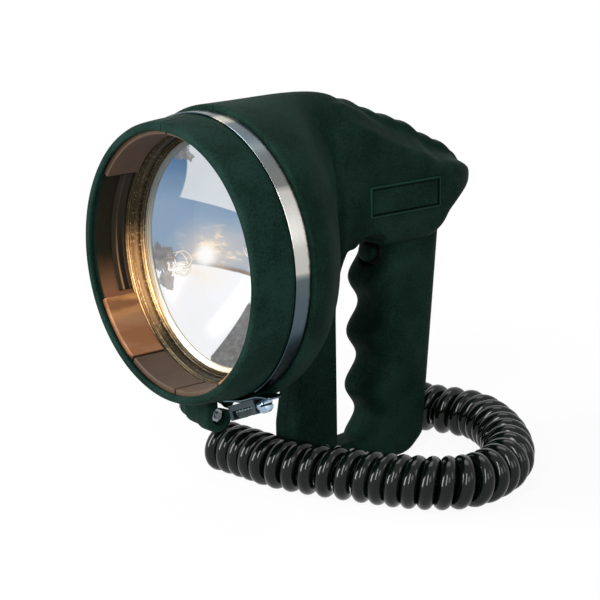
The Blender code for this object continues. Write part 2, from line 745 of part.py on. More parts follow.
turned("lens_glass", lens_front + [(lens_radius, lens_rim_depth), (lens_radius, lens_rim_depth + lens_thickness)]
       + lens_back[::-1], clear, steps=lamp_steps)
reflector_rim_depth = lens_rim_depth + lens_thickness + gap
bowl_depth = reflector_apex_depth - reflector_rim_depth
bowl_inner = []
bowl_outer = []
for k in range(7):
    radius = neck_radius + (reflector_mouth_radius - neck_radius) * k / 6
    depth = reflector_rim_depth + bowl_depth * (1 - (radius / reflector_mouth_radius) ** 2)
    bowl_inner.append((radius, depth))
    bowl_outer.append((radius, depth + reflector_thickness))
neck_depth = bowl_inner[0][1]
turned("reflector", bowl_inner[::-1] + [
    (neck_radius, neck_depth + reflector_thickness * 3),
    (neck_radius + reflector_thickness, neck_depth + reflector_thickness * 3),
    (neck_radius + reflector_thickness, neck_depth + reflector_thickness * 0.8)] + bowl_outer[1:-1] + [
    (reflector_mouth_radius + reflector_thickness, reflector_rim_depth + reflector_thickness),
    (lens_radius, reflector_rim_depth + reflector_thickness), (lens_radius, reflector_rim_depth)],
    mirror, steps=lamp_steps)
gasket_depth = reflector_rim_depth + reflector_thickness + gap
turned("seat_gasket", [
    (seat_opening_radius + gap, gasket_depth), (lens_radius, gasket_depth),
    (lens_radius, gasket_depth + gasket_thickness), (seat_opening_radius + gap, gasket_depth + gasket_thickness)],
    dark_seal, steps=lamp_steps)

# Bulb in its holder at the reflector's neck
holder_depth = neck_depth + reflector_thickness * 3 + gap
holder_outer = neck_radius + reflector_thickness
holder_inner = bulb_base_radius + gap
turned("bulb_holder", [
    (bulb_radius + gap * 4, holder_depth), (holder_outer, holder_depth), (holder_outer, holder_depth + holder_length),
    (holder_outer - holder_wall, holder_depth + holder_length), (holder_outer - holder_wall, holder_depth + holder_wall),
    (bulb_radius + gap * 4, holder_depth + holder_wall)], zinc)
base_depth = holder_depth + holder_wall + gap
turned("bulb_base", [
    (0.0, base_depth), (bulb_base_radius, base_depth), (bulb_base_radius, base_depth + bulb_base_length * 0.4),
    (bulb_base_radius * 0.75, base_depth + bulb_base_length * 0.4),
    (bulb_base_radius * 0.75, base_depth + bulb_base_length), (0.0, base_depth + bulb_base_length)], zinc)
glass_rear = base_depth - gap
glass_front = glass_rear - bulb_length
turned("bulb_glass", [
    (0.0, glass_front), (bulb_radius * 0.45, glass_front + bulb_radius * 0.2),
    (bulb_radius * 0.85, glass_front + bulb_radius * 0.6), (bulb_radius, glass_front + bulb_radius * 1.2),
    (bulb_radius, glass_rear), (bulb_radius * 0.75, glass_rear), (bulb_radius * 0.75, glass_front + bulb_radius * 1.2),
    (0.0, glass_front + bulb_radius * 0.5)], clear, steps=16)
filament_depth = glass_front + bulb_length * 0.42
filament_points = [spot(-filament_length / 2, glass_rear - gap, 0), spot(-filament_length / 2, filament_depth, 0)]
for k in range(filament_turns * 6 + 1):
    turn = 2 * math.pi * k / 6
    x = filament_length * (k / (filament_turns * 6) - 0.5)
    filament_points.append(spot(x, filament_depth - filament_radius * math.sin(turn) - filament_radius,
                                filament_radius * math.cos(turn)))
filament_points += [spot(filament_length / 2, filament_depth, 0), spot(filament_length / 2, glass_rear - gap, 0)]
tube("bulb_filament", filament_points, filament_wire / 2, tungsten, resolution=0)
clip_depth = base_depth + bulb_base_length * 0.4 + clip_wire + gap
clip_reach = holder_outer - holder_wall - clip_wire - gap
clip_bow = bulb_base_radius * 0.75 + clip_wire + gap
clip_points = [spot(-clip_reach * math.cos(0.75), clip_depth, clip_reach * math.sin(0.75))]
for k in range(9):
    turn = math.radians(150 + 240 * k / 8)
    clip_points.append(spot(clip_bow * math.cos(turn), clip_depth, clip_bow * math.sin(turn)))
clip_points.append(spot(clip_reach * math.cos(0.75), clip_depth, clip_reach * math.sin(0.75)))
tube("bulb_clip", clip_points, clip_wire / 2, zinc, resolution=1)

# Tabs on the bulb's base, and the two leads to the switch
tab_depth = base_depth + bulb_base_length + gap
switch_front = cavity_front_depth + button_travel + 2 * button_flange + 8 * gap
switch_top = button_height + switch_tall / 2
for name, side, look in (("positive", 1, red_wire), ("negative", -1, black_plastic)):
    x = side * terminal_width * 0.7
    block("terminal_" + name, spot(x - terminal_width / 2, tab_depth, -terminal_thickness / 2),
          spot(x + terminal_width / 2, tab_depth + terminal_length, terminal_thickness / 2), brass)
    start = spot(x, tab_depth + terminal_length + gap, 0)
    end = spot(side * switch_width / 4, switch_front + switch_length / 2, switch_top + gap)
    rise = Vector((0, 0, wall * 2))
    run = [start, start + Vector((0, wall, 0)), start + Vector((0, 4 * wall, 0)) + rise,
           spot(x, cavity_front_depth, 2 * wall) + rise, end + rise * 1.5, end + rise / 4, end]
    tube("lead_" + name, smooth_line(run, 3), lead_radius, look, resolution=2)

# Button, its collar and spring, and the switch behind it
button_axis = spot(0, 0, button_height)
flange_depth = cavity_front_depth + gap
turned("trigger_button", [
    (0.0, button_front_depth), (button_radius * 0.8, button_front_depth),
    (button_radius, button_front_depth + button_radius * 0.2), (button_radius, flange_depth),
    (button_flange_radius, flange_depth), (button_flange_radius, flange_depth + button_flange),
    (0.0, flange_depth + button_flange)], black_plastic, centre=button_axis, axis=button_way, steps=20)
collar_rear = grip_front(button_height) + collar_thickness - gap
turned("button_collar", [
    (button_radius + gap, collar_rear - collar_thickness), (collar_radius - gap, collar_rear - collar_thickness),
    (collar_radius, collar_rear - collar_thickness * 0.6), (collar_radius, collar_rear),
    (button_radius + gap, collar_rear)], dark_seal, centre=button_axis, axis=button_way, steps=20)
spring_start = flange_depth + button_flange + gap + spring_wire / 2
spring_end = switch_front - gap - spring_wire / 2
spring_points = []
for k in range(spring_turns * 8 + 1):
    turn = 2 * math.pi * k / 8
    along = spring_start + (spring_end - spring_start) * k / (spring_turns * 8)
    spring_points.append(spot(spring_radius * math.cos(turn), along, button_height + spring_radius * math.sin(turn)))
tube("trigger_spring", spring_points, spring_wire / 2, zinc, resolution=0)
block("switch_body", spot(-switch_width / 2, switch_front, button_height - switch_tall / 2),
      spot(switch_width / 2, switch_front + switch_length, switch_top), grey_plastic)

# Band clamp: strip, saddle and worm screw, in the frame of the clamp
clamp_turn = math.radians(clamp_angle_deg)
clamp_out = Vector((math.cos(clamp_turn), 0, math.sin(clamp_turn)))
clamp_along = Vector((-math.sin(clamp_turn), 0, math.cos(clamp_turn)))
band_middle_depth = band_front_depth + band_width / 2
clamp_frame = Matrix((
    (clamp_along.x, 0, clamp_out.x, 0),
    (0, 1, 0, band_middle_depth - overall_depth / 2),
    (clamp_along.z, 0, clamp_out.z, axis_height),
    (0, 0, 0, 1)))
band_line = []
first_turn = clamp_turn + math.radians(band_overlap_deg)
last_turn = clamp_turn + 2 * math.pi - math.radians(band_overlap_deg) * 0.8
for k in range(band_steps + 1):
    turn = first_turn + (last_turn - first_turn) * k / band_steps
    radius = band_inner_radius + band_thickness / 2
    band_line.append(Vector((radius * math.cos(turn), 0, radius * math.sin(turn))))
tail_distance = band_inner_radius + band_thickness / 2 + tail_clearance
for share in (-0.06, 0.12, 0.3, 0.48, 0.64, 0.78, 0.88, 0.95, 1.0):
    lift = tail_spring * max(0.0, share - 0.42) ** 2 / 0.58 ** 2
    if share < 0:
        lift = -tail_clearance * 0.35
    band_line.append(clamp_along * (tail_length * share) + clamp_out * (tail_distance + lift))
band_rings = []
for k, place in enumerate(band_line):
    before = band_line[max(k - 1, 0)]
    after = band_line[min(k + 1, len(band_line) - 1)]
    heading = (after - before).normalized()
    out = Vector((heading.z, 0, -heading.x))
    left = len(band_line) - 1 - k
    half = band_width / 2 * {0: 0.55, 1: 0.86}.get(left, 1.0)
    centre = spot(0, band_middle_depth, 0) + place
    band_rings.append([centre + out * band_thickness / 2 * s + Vector((0, half * t, 0))
                       for s, t in ((1, 1), (-1, 1), (-1, -1), (1, -1))])
lofted("clamp_band", band_rings, steel)

plate_low = tail_distance + band_thickness / 2 + gap
plate_high = plate_low + saddle_wall
worm_distance = plate_high + worm_radius + gap
half_width = saddle_width / 2
saddle = block("clamp_saddle", (-saddle_half_length, -half_width, plate_low),
               (saddle_half_length, half_width, plate_low + saddle_height), steel, clamp_frame)
worm_room = block("worm_room_cutter", (-saddle_half_length + 2 * saddle_wall, -half_width + saddle_wall, plate_high),
                  (saddle_half_length - 2 * saddle_wall, half_width - saddle_wall,
                   plate_low + saddle_height + overrun), None, clamp_frame)
side_room = block("saddle_side_cutter",
                  (-saddle_half_length + 3 * saddle_wall, -half_width - overrun, plate_high + worm_radius * 0.7),
                  (saddle_half_length - 3 * saddle_wall, half_width + overrun,
                   plate_low + saddle_height + overrun), None, clamp_frame)
worm_centre = clamp_frame @ Vector((0, 0, worm_distance))
neck_hole = turned("neck_hole_cutter", [
    (0.0, 0.0), (worm_neck_radius + gap, 0.0), (worm_neck_radius + gap, saddle_half_length + overrun),
    (0.0, saddle_half_length + overrun)], centre=worm_centre, axis=clamp_along, steps=small_steps)
cut(saddle, worm_room, side_room, neck_hole)
worm_start = -saddle_half_length + 2 * saddle_wall + gap
worm_end = saddle_half_length - 2 * saddle_wall - gap
worm_outline = [(0.0, worm_start), (worm_root_radius, worm_start)]
worm_count = int((worm_end - worm_start) / worm_pitch)
for k in range(worm_count):
    here = worm_start + (worm_end - worm_start) * (k + 0.15) / worm_count
    step = (worm_end - worm_start) / worm_count
    worm_outline += [(worm_root_radius, here), (worm_radius, here + step * 0.25),
                     (worm_radius, here + step * 0.45), (worm_root_radius, here + step * 0.7)]
key_start = saddle_half_length + gap
key_end = key_start + screw_key_length
worm_outline += [(worm_root_radius, worm_end), (worm_neck_radius, worm_end), (worm_neck_radius, key_start),
                 (screw_key_radius, key_start), (screw_key_radius, key_end - screw_key_length * 0.15),
                 (screw_key_radius * 0.85, key_end), (0.0, key_end)]
worm = turned("clamp_screw", worm_outline, zinc, centre=worm_centre, axis=clamp_along, steps=small_steps)
key_slot = block("key_slot_cutter", (key_end - screw_key_slot_depth, -screw_key_radius - overrun,
                                     worm_distance - screw_key_slot_width / 2),
                 (key_end + overrun, screw_key_radius + overrun, worm_distance + screw_key_slot_width / 2),
                 None, clamp_frame)
cut(worm, key_slot)

# Gland and boot where the cord leaves the heel
gland_start = exit_boss_length + gap
gland_end = gland_start + gland_length
cord_hole = cord_diameter / 2 + gap
turned("cord_gland", [
    (0.0, gland_start), (gland_radius, gland_start), (gland_radius, gland_end - gland_length * 0.2),
    (gland_radius * 0.88, gland_end), (0.0, gland_end)], black_plastic, centre=exit_root, axis=exit_way, steps=6)
boot_start = gland_end + gap
boot_end = boot_start + boot_length


def ribbed_boot(name, start, end, wide, narrow, ribs, centre, way, look):
    """A tapered strain relief with round ribs; start and end run along the way."""
    outline = [(0.0, start)]
    for k in range(ribs):
        for share, height in ((0.0, 1.0), (0.55, 1.0), (0.7, 0.82), (0.9, 0.82)):
            along = (k + share) / ribs
            outline.append(((wide + (narrow - wide) * along) * height, start + (end - start) * along))
    outline += [(narrow * 0.9, end), (0.0, end)]
    return turned(name, outline, look, centre=centre, axis=way, steps=small_steps)


ribbed_boot("cord_boot", boot_start, boot_end, boot_radius, boot_tip_radius, boot_ribs, exit_root, exit_way,
            black_plastic)

# Plug at the cord's other end, lying on the ground behind the coil
plug_axis = spot(plug_x, plug_start_depth, ground + plug_radius + coil_lift)
plug_turn = math.radians(plug_turn_deg)
plug_way = Vector((math.cos(plug_turn), math.sin(plug_turn), 0))
ribbed_boot("plug_boot", plug_boot_length, 0.0, plug_radius * 0.8, boot_tip_radius, boot_ribs, plug_axis, plug_way,
            black_plastic)
body_start = plug_boot_length + gap
body_end = body_start + plug_body_length
outline = [(0.0, body_start), (plug_radius * 0.8, body_start)]
for k in range(plug_ribs):
    for share, drop in ((0.25, 0.0), (0.6, 0.0), (0.7, 1.0), (0.9, 1.0)):
        along = body_start + plug_body_length * 0.75 * (k + share) / plug_ribs
        outline.append((plug_radius - plug_rib_height * drop, along))
nose_seat = body_end - plug_body_length * 0.15
outline += [(plug_radius, nose_seat), (plug_nose_radius, nose_seat + plug_radius * 0.2),
            (plug_nose_radius, body_end), (0.0, body_end)]
turned("plug_body", outline, black_plastic, centre=plug_axis, axis=plug_way, steps=small_steps + 2)
nose_start = body_end + gap
turned("plug_sleeve", [
    (plug_nose_radius - plug_ring_thickness, nose_start), (plug_nose_radius, nose_start),
    (plug_nose_radius, nose_start + plug_nose_length), (plug_nose_radius * 0.8, nose_start + plug_nose_length * 1.05),
    (plug_nose_radius * 0.8 - plug_ring_thickness, nose_start + plug_nose_length)],
    brass, centre=plug_axis, axis=plug_way, steps=small_steps)
core_radius = plug_nose_radius * 0.8 - plug_ring_thickness - gap
turned("plug_pin", [
    (0.0, nose_start), (core_radius, nose_start), (core_radius, nose_start + plug_nose_length),
    (plug_pin_radius, nose_start + plug_nose_length), (plug_pin_radius, nose_start + plug_nose_length + plug_pin_length),
    (0.0, nose_start + plug_nose_length + plug_pin_length * 1.2)], brass, centre=plug_axis, axis=plug_way,
    steps=small_steps)


def cord_points():
    """The cord's middle line: tail from the boot, curls along the route, tail to the plug."""
    route = [spot(x, depth, ground + coil_radius + coil_lift)
             for x, depth in cord_far_route + cord_side_route + cord_bend_route + cord_near_route]
    line = smooth_line(route, 24)
    lengths = [0.0]
    for before, after in zip(line, line[1:]):
        lengths.append(lengths[-1] + (after - before).length)
    total = lengths[-1]

    def pitch_at(share):
        for (s0, p0), (s1, p1) in zip(curl_pitch_shares, curl_pitch_shares[1:]):
            if share <= s1:
                return curl_pitch * (p0 + (p1 - p0) * (share - s0) / (s1 - s0))
        return curl_pitch * curl_pitch_shares[-1][1]

    helix_radius = coil_radius - cord_diameter / 2
    turns = [0.0]
    for k in range(1, len(line)):
        middle = (lengths[k] + lengths[k - 1]) / 2 / total
        low, high = max(k - 6, 1), min(k + 6, len(line) - 1)
        swing = (line[low] - line[low - 1]).angle(line[high] - line[high - 1])
        bend = swing / (lengths[high] - lengths[low])
        pitch = max(pitch_at(middle), least_curl_spacing / (1 - helix_radius * bend))
        turns.append(turns[-1] + (lengths[k] - lengths[k - 1]) / pitch)
    whole = math.floor(turns[-1]) + 0.5
    turns = [value * whole / turns[-1] for value in turns]
    curls = []
    count = int(whole * curl_points)
    k = 0
    for j in range(count + 1):
        wanted = whole * j / count
        while k < len(turns) - 2 and turns[k + 1] < wanted:
            k += 1
        blend = (wanted - turns[k]) / (turns[k + 1] - turns[k])
        centre = line[k].lerp(line[k + 1], min(1.0, blend))
        heading = (line[min(k + 2, len(line) - 1)] - line[max(k - 1, 0)]).normalized()
        side = heading.cross(Vector((0, 0, 1)))
        turn = -2 * math.pi * wanted
        curls.append(centre + Vector((0, 0, 1)) * (helix_radius * math.cos(turn))
                     + side * (helix_radius * math.sin(turn)))
    start = exit_root + exit_way * (boot_end + gap)
    first = curls[0]
    lead_in = [start, start + exit_way * cord_diameter]
    bend = [start + exit_way * cord_diameter * 1.7 + Vector((0, cord_diameter * 0.25, cord_diameter * 0.1)),
            first - Vector((0, cord_diameter * 0.8, 0))]
    entry = smooth_line([lead_in[0], lead_in[1]] + bend + [first, curls[1]], 4)
    entry = entry[4:-4]
    last = curls[-1]
    end = plug_axis - plug_way * gap
    before_end = end - plug_way * cord_diameter
    low = ground + cord_diameter / 2 + coil_lift
    resting = [spot(x, depth, low) for x, depth in tail_route]
    exit_line = smooth_line([curls[-2], last] + resting + [before_end, end], 4)
    exit_line = exit_line[5:-4]
    return [start] + entry[:-1] + curls + exit_line + [end]


points = cord_points()
tube("curly_cord", points, cord_diameter / 2, black_pvc, resolution=1)
run = [0.0]
for one, two in zip(points, points[1:]):
    run.append(run[-1] + (two - one).length)
length = run[-1]
least = min((points[a] - points[b]).length for a in range(len(points))
            for b in range(a + 1, len(points)) if run[b] - run[a] > 4 * cord_diameter)
print("curly cord: length %.3f m, least gap to itself %.2f mm" % (length, (least - cord_diameter) * 1000))
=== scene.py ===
from math import copysign, cos, degrees, floor, pi, radians, sin

import bpy
import bmesh
from mathutils import Matrix, Vector


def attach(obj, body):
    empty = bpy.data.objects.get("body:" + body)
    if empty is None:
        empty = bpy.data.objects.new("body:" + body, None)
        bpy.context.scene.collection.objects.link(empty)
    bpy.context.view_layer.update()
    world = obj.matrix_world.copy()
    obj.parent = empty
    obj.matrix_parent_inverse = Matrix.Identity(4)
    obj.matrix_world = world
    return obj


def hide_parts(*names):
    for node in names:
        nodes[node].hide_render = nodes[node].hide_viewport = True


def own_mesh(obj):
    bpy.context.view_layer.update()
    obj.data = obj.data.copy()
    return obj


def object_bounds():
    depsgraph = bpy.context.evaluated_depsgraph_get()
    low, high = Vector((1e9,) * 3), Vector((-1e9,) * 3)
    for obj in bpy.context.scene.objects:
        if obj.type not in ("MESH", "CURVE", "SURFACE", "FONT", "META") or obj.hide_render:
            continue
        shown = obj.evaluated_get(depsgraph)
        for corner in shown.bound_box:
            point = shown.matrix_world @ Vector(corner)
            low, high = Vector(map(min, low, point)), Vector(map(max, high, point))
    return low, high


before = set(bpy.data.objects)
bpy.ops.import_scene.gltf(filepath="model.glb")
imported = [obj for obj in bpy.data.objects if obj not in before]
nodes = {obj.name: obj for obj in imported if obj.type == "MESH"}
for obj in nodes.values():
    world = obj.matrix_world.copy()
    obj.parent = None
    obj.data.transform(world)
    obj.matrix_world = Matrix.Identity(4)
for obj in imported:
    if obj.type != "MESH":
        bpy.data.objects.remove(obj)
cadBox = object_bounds()
print("frame loaded:", len(nodes), "nodes")

# sizes shared with the CAD part, metres: depths run back from the lip, heights from the lamp's axis
place = dict(depth=0.194, axisHeight=0.1205, gap=0.0003, overrun=0.004)
ground, gap, overrun = -place["axisHeight"], place["gap"], place["overrun"]


def pick(settings, names):
    return [settings[name] for name in names.split()]


def spot(x, depth, height):
    return Vector((x, depth - place["depth"] / 2, place["axisHeight"] + height))


# camera first, fitted to the photograph
view = dict(distance=0.828, azimuth=49.5, elevation=13.6, roll=-1.0, focal=107.26, aimRight=0.0625, aimUp=-0.0161,
    sensor=36, nearest=0.01)


def makeCamera():
    turn, lift, roll = map(radians, pick(view, "azimuth elevation roll"))
    back = Vector((sin(turn) * cos(lift), -cos(turn) * cos(lift), sin(lift)))
    right = Vector((cos(turn), sin(turn), 0))
    up = back.cross(right)
    right, up = right * cos(roll) + up * sin(roll), up * cos(roll) - right * sin(roll)
    at = spot(0, 0, 0) + back * view["distance"] + right * view["aimRight"] + up * view["aimUp"]
    lens = bpy.data.cameras.new("photoCamera")
    lens.sensor_width, lens.lens, lens.clip_start = view["sensor"], view["focal"], view["nearest"]
    seat = bpy.data.objects.new("photoCamera", lens)
    seat.matrix_world = Matrix.Translation(at) @ Matrix((right, up, back)).transposed().to_4x4()
    bpy.context.scene.collection.objects.link(seat)
    bpy.context.scene.camera = seat


makeCamera()


class Wire:
    # wraps one output socket, so that shader maths reads as plain sums
    def __init__(self, look, socket):
        self.look, self.socket = look, socket

    def maths(self, operation, other=0.0, swapped=False):
        first, second = (other, self) if swapped else (self, other)
        return self.look.node("Math", {"operation": operation}, {0: first, 1: second})

    def __add__(self, other):
        return self.maths("ADD", other)

    def __sub__(self, other):
        return self.maths("SUBTRACT", other)

    def __rsub__(self, other):
        return self.maths("SUBTRACT", other, True)

    def __mul__(self, other):
        return self.maths("MULTIPLY", other)

    def __truediv__(self, other):
        return self.maths("DIVIDE", other)

    __radd__, __rmul__ = __add__, __mul__


class Look:
    # one material, or the world: fixed values go straight on its shader, the rest is wired up
    sockets = {"colour": "Base Color", "roughness": "Roughness", "metallic": "Metallic", "normal": "Normal",
               "specular": "Specular IOR Level", "ior": "IOR", "transmission": "Transmission Weight",
               "glow": "Emission Color", "glowStrength": "Emission Strength"}

    def __init__(self, name, world=None, **fixed):
        self.material = world or bpy.data.materials.new(name)
        self.material.use_nodes = True
        self.tree = self.material.node_tree
        self.shader = self.tree.nodes["Background" if world else "Principled BSDF"]
        for key, value in fixed.items():
            self.feed(key, value)

    def fill(self, socket, value):
        if isinstance(value, Wire):
            self.tree.links.new(value.socket, socket)
        else:
            socket.default_value = (*value, 1.0) if socket.type == "RGBA" else value

    def feed(self, key, value):
        self.fill(self.shader.inputs[self.sockets.get(key, key)], value)

    def node(self, kind, settings=None, inputs=None, out=0):
        made = self.tree.nodes.new("ShaderNode" + kind)
        for key, value in (settings or {}).items():
            if key == "stops":
                while len(made.color_ramp.elements) < len(value):
                    made.color_ramp.elements.new(1.0)
                for element, (position, colour) in zip(made.color_ramp.elements, value):
                    element.position, element.color = position, (*colour, 1.0)
            else:
                setattr(made, key, value)
        for key, value in (inputs or {}).items():
            self.fill(made.inputs[key], value)
        return Wire(self, made.outputs[out])

    def here(self):
        return self.node("TexCoord", out="Object")

    def at(self, stretch=(1, 1, 1), shift=(0, 0, 0)):
        return self.node("Mapping", None, {"Vector": self.here(), "Scale": stretch, "Location": shift})

    def axis(self, name):
        return self.node("SeparateXYZ", None, {0: self.here()}, name)

    def height(self):  # over the lamp's axis
        return self.axis("Z") - place["axisHeight"]

    def vector(self, operation, first, second=(0, 0, 0)):
        return self.node("VectorMath", {"operation": operation}, {0: first, 1: second}, "Value")

    def reach(self):  # distance from the lamp's axis
        return self.vector("LENGTH", self.at((1, 0, 1), (0, 0, -place["axisHeight"])))

    def noise(self, scale, detail=3.0, rough=0.5, vector=None):
        return self.node("TexNoise", None, {"Vector": vector or self.at(), "Scale": scale, "Detail": detail,
                                            "Roughness": rough}, "Fac")

    def fade(self, value, low, high, first=0.0, last=1.0):  # smooth step from first at low to last at high
        return self.node("MapRange", {"interpolation_type": "SMOOTHSTEP"},
                         {"Value": value, "From Min": low, "From Max": high, "To Min": first, "To Max": last})

    def mix(self, factor, one, two, way="MIX"):
        return self.node("Mix", {"data_type": "RGBA", "blend_type": way}, {0: factor, 6: one, 7: two}, 2)

    def ramp(self, value, stops):
        return self.node("ValToRGB", {"stops": stops}, {"Fac": value})

    def finished(self, colour, roughness, height=None, strength=0.0, distance=0.0):
        # closes the look, with a bump where a height is given
        self.feed("colour", colour)
        self.feed("roughness", roughness)
        if height:
            self.feed("normal", self.node("Bump", None, {"Strength": strength, "Distance": distance,
                                                         "Height": height}))
        return self.material


# painted light, metres: the beam's warm glow on the shroud's inner wall, and the painted highlight and shade line
# round the frame of the blank plate
beamSpill = dict(reach=(0.0645, 0.0641), front=(-0.0925, -0.091), spill=(0.004, -0.026), dark=(0.016, 0.015, 0.009),
    lit=(0.26, 0.115, 0.058))
framing = dict(line=(-0.0022, -0.0016, -0.0011, -0.0008), rim=(-0.0009, -0.0007),
    shadeLineColour=(0.0012, 0.0042, 0.0028), rimHighlightColour=(0.0115, 0.034, 0.027))


def rubberLook(name, low, high, specular=0.012, grain=1000.0, beamLit=False, framed=None):
    look = Look(name, specular=specular)
    cloud = look.noise(38.0, 4.0, 0.6)
    speck = look.noise(grain, 2.0, 0.6)
    scuff = look.fade(look.noise(120.0, 5.0, 0.65, look.at((1.0, 0.45, 1.0))), 0.55, 0.75)
    tone = look.mix(look.fade(cloud * 0.55 + speck * 0.45, 0.38, 0.62), low, high)
    if beamLit:  # painted glow: warmer where the beam spills on it
        inner = look.fade(look.reach(), *beamSpill["reach"]) * look.fade(look.axis("Y"), *beamSpill["front"])
        spill = look.fade(look.height() + cloud * 0.012, *beamSpill["spill"])
        tone = look.mix(inner, tone, look.mix(spill, beamSpill["dark"], beamSpill["lit"]))
    if framed:  # painted highlight on the rim of the blank plate, with a painted shade line inside it
        long, tall = ((look.axis(name) - middle).maths("ABSOLUTE") - half for name, middle, half in framed)
        beyond = long.maths("MAXIMUM", tall)
        start, full, fullEnd, end = framing["line"]
        tone = look.mix(look.fade(beyond, start, full) * look.fade(beyond, end, fullEnd), tone,
                        framing["shadeLineColour"])
        tone = look.mix(look.fade(beyond, *framing["rim"]), tone, framing["rimHighlightColour"])
    return look.finished(tone, 0.46 + cloud * 0.1 - scuff * 0.06,
                         speck + look.noise(260.0, 3.0) * 0.6, 0.6, 0.00028)


def steelLook(name, colour, roughness, streak=(1, 1, 1)):
    look = Look(name, metallic=1.0)
    lines = look.noise(420.0, 3.0, 0.6, look.at(streak))
    blotch = look.fade(look.noise(90.0, 4.0), 0.45, 0.8)
    return look.finished(look.mix(blotch * 0.6, colour, tuple(c * 0.72 for c in colour)),
                         roughness + lines * 0.12 + blotch * 0.08, lines, 0.1, 0.0001)


def plasticLook(name, colour, roughness, grain=900.0, depth=0.15, specular=0.35):
    look = Look(name, specular=specular)
    speck = look.noise(grain, 2.0)
    return look.finished(look.mix(look.noise(55.0, 3.0), colour, tuple(c * 1.35 for c in colour)),
                         roughness + speck * 0.12, speck, depth, 0.0001)


bandReflections = {  # degrees round the lamp from +X over the top: painted reflection of the studio on the polished strip
    -180: (0.5, 0.51, 0.52), -95: (0.3, 0.36, 0.4), -70: (0.1, 0.16, 0.19), -45: (0.04, 0.075, 0.09),
    -22: (0.045, 0.085, 0.105), -8: (0.065, 0.095, 0.11), 1.0: (0.09, 0.115, 0.125),
    2.4: (0.5, 0.49, 0.455), 34: (0.52, 0.505, 0.475), 36.5: (0.17, 0.18, 0.17), 50: (0.13, 0.15, 0.15),
    62: (0.09, 0.13, 0.15), 72: (0.11, 0.15, 0.17), 74: (0.54, 0.5, 0.43), 79: (0.58, 0.54, 0.47),
    81: (0.05, 0.085, 0.105), 98: (0.075, 0.115, 0.14), 125: (0.42, 0.46, 0.48), 180: (0.5, 0.51, 0.52)}


def bandLook():
    look = Look("polishedBand", metallic=1.0)
    turn = look.height().maths("ARCTAN2", look.axis("X"))
    stops = [((deg + 180) / 360, colour) for deg, colour in sorted(bandReflections.items())]
    brushed = look.noise(700.0, 2.0, 0.5, look.at((0.06, 4.0, 0.06)))
    return look.finished(look.mix(brushed * 0.05, look.ramp((turn + pi) / (2 * pi), stops), (0.55, 0.55, 0.54)),
                         0.16 + brushed * 0.12, brushed, 0.08, 0.00008)


# painted reflection and glow in the bowl, metres: x across and height from the axis; an edge is a slope and an
# offset
paintedMirrorZones = dict(soft=0.0004, base=(0.016, 0.016, 0.016), patchSide=(0.593, -0.05546), patchFoot=(0.304, 0.00793),
    horizon=(0.143, -0.019), line=(0.0026, 0.001), wedgeSide=(0.16, -0.0042), wedgeTop=(-0.028, -0.03),
    glowAt=(-0.0359, 0.0522, -0.0086), glowReach=0.023, core=(0.002, 0.0078),
    loopWidths=((0.0007, 0.55, (0.16, 0.13, 0.11)), (0.0004, 0.9, (0.95, 0.88, 0.78))),
    loops=[((-0.0468, 0.0422, -0.0123), 0.0052), ((-0.0441, 0.0438, -0.0152), 0.0034),
        ((-0.0489, 0.04, -0.0123), 0.0024), ((-0.044, 0.044, -0.0105), 0.0042)],
    reflectedBlots=[((-0.031, 0.0358, 0.0455), 0.0065), ((-0.0527, 0.0362, -0.01), 0.0085),
        ((-0.049, 0.0375, -0.0215), 0.006)])


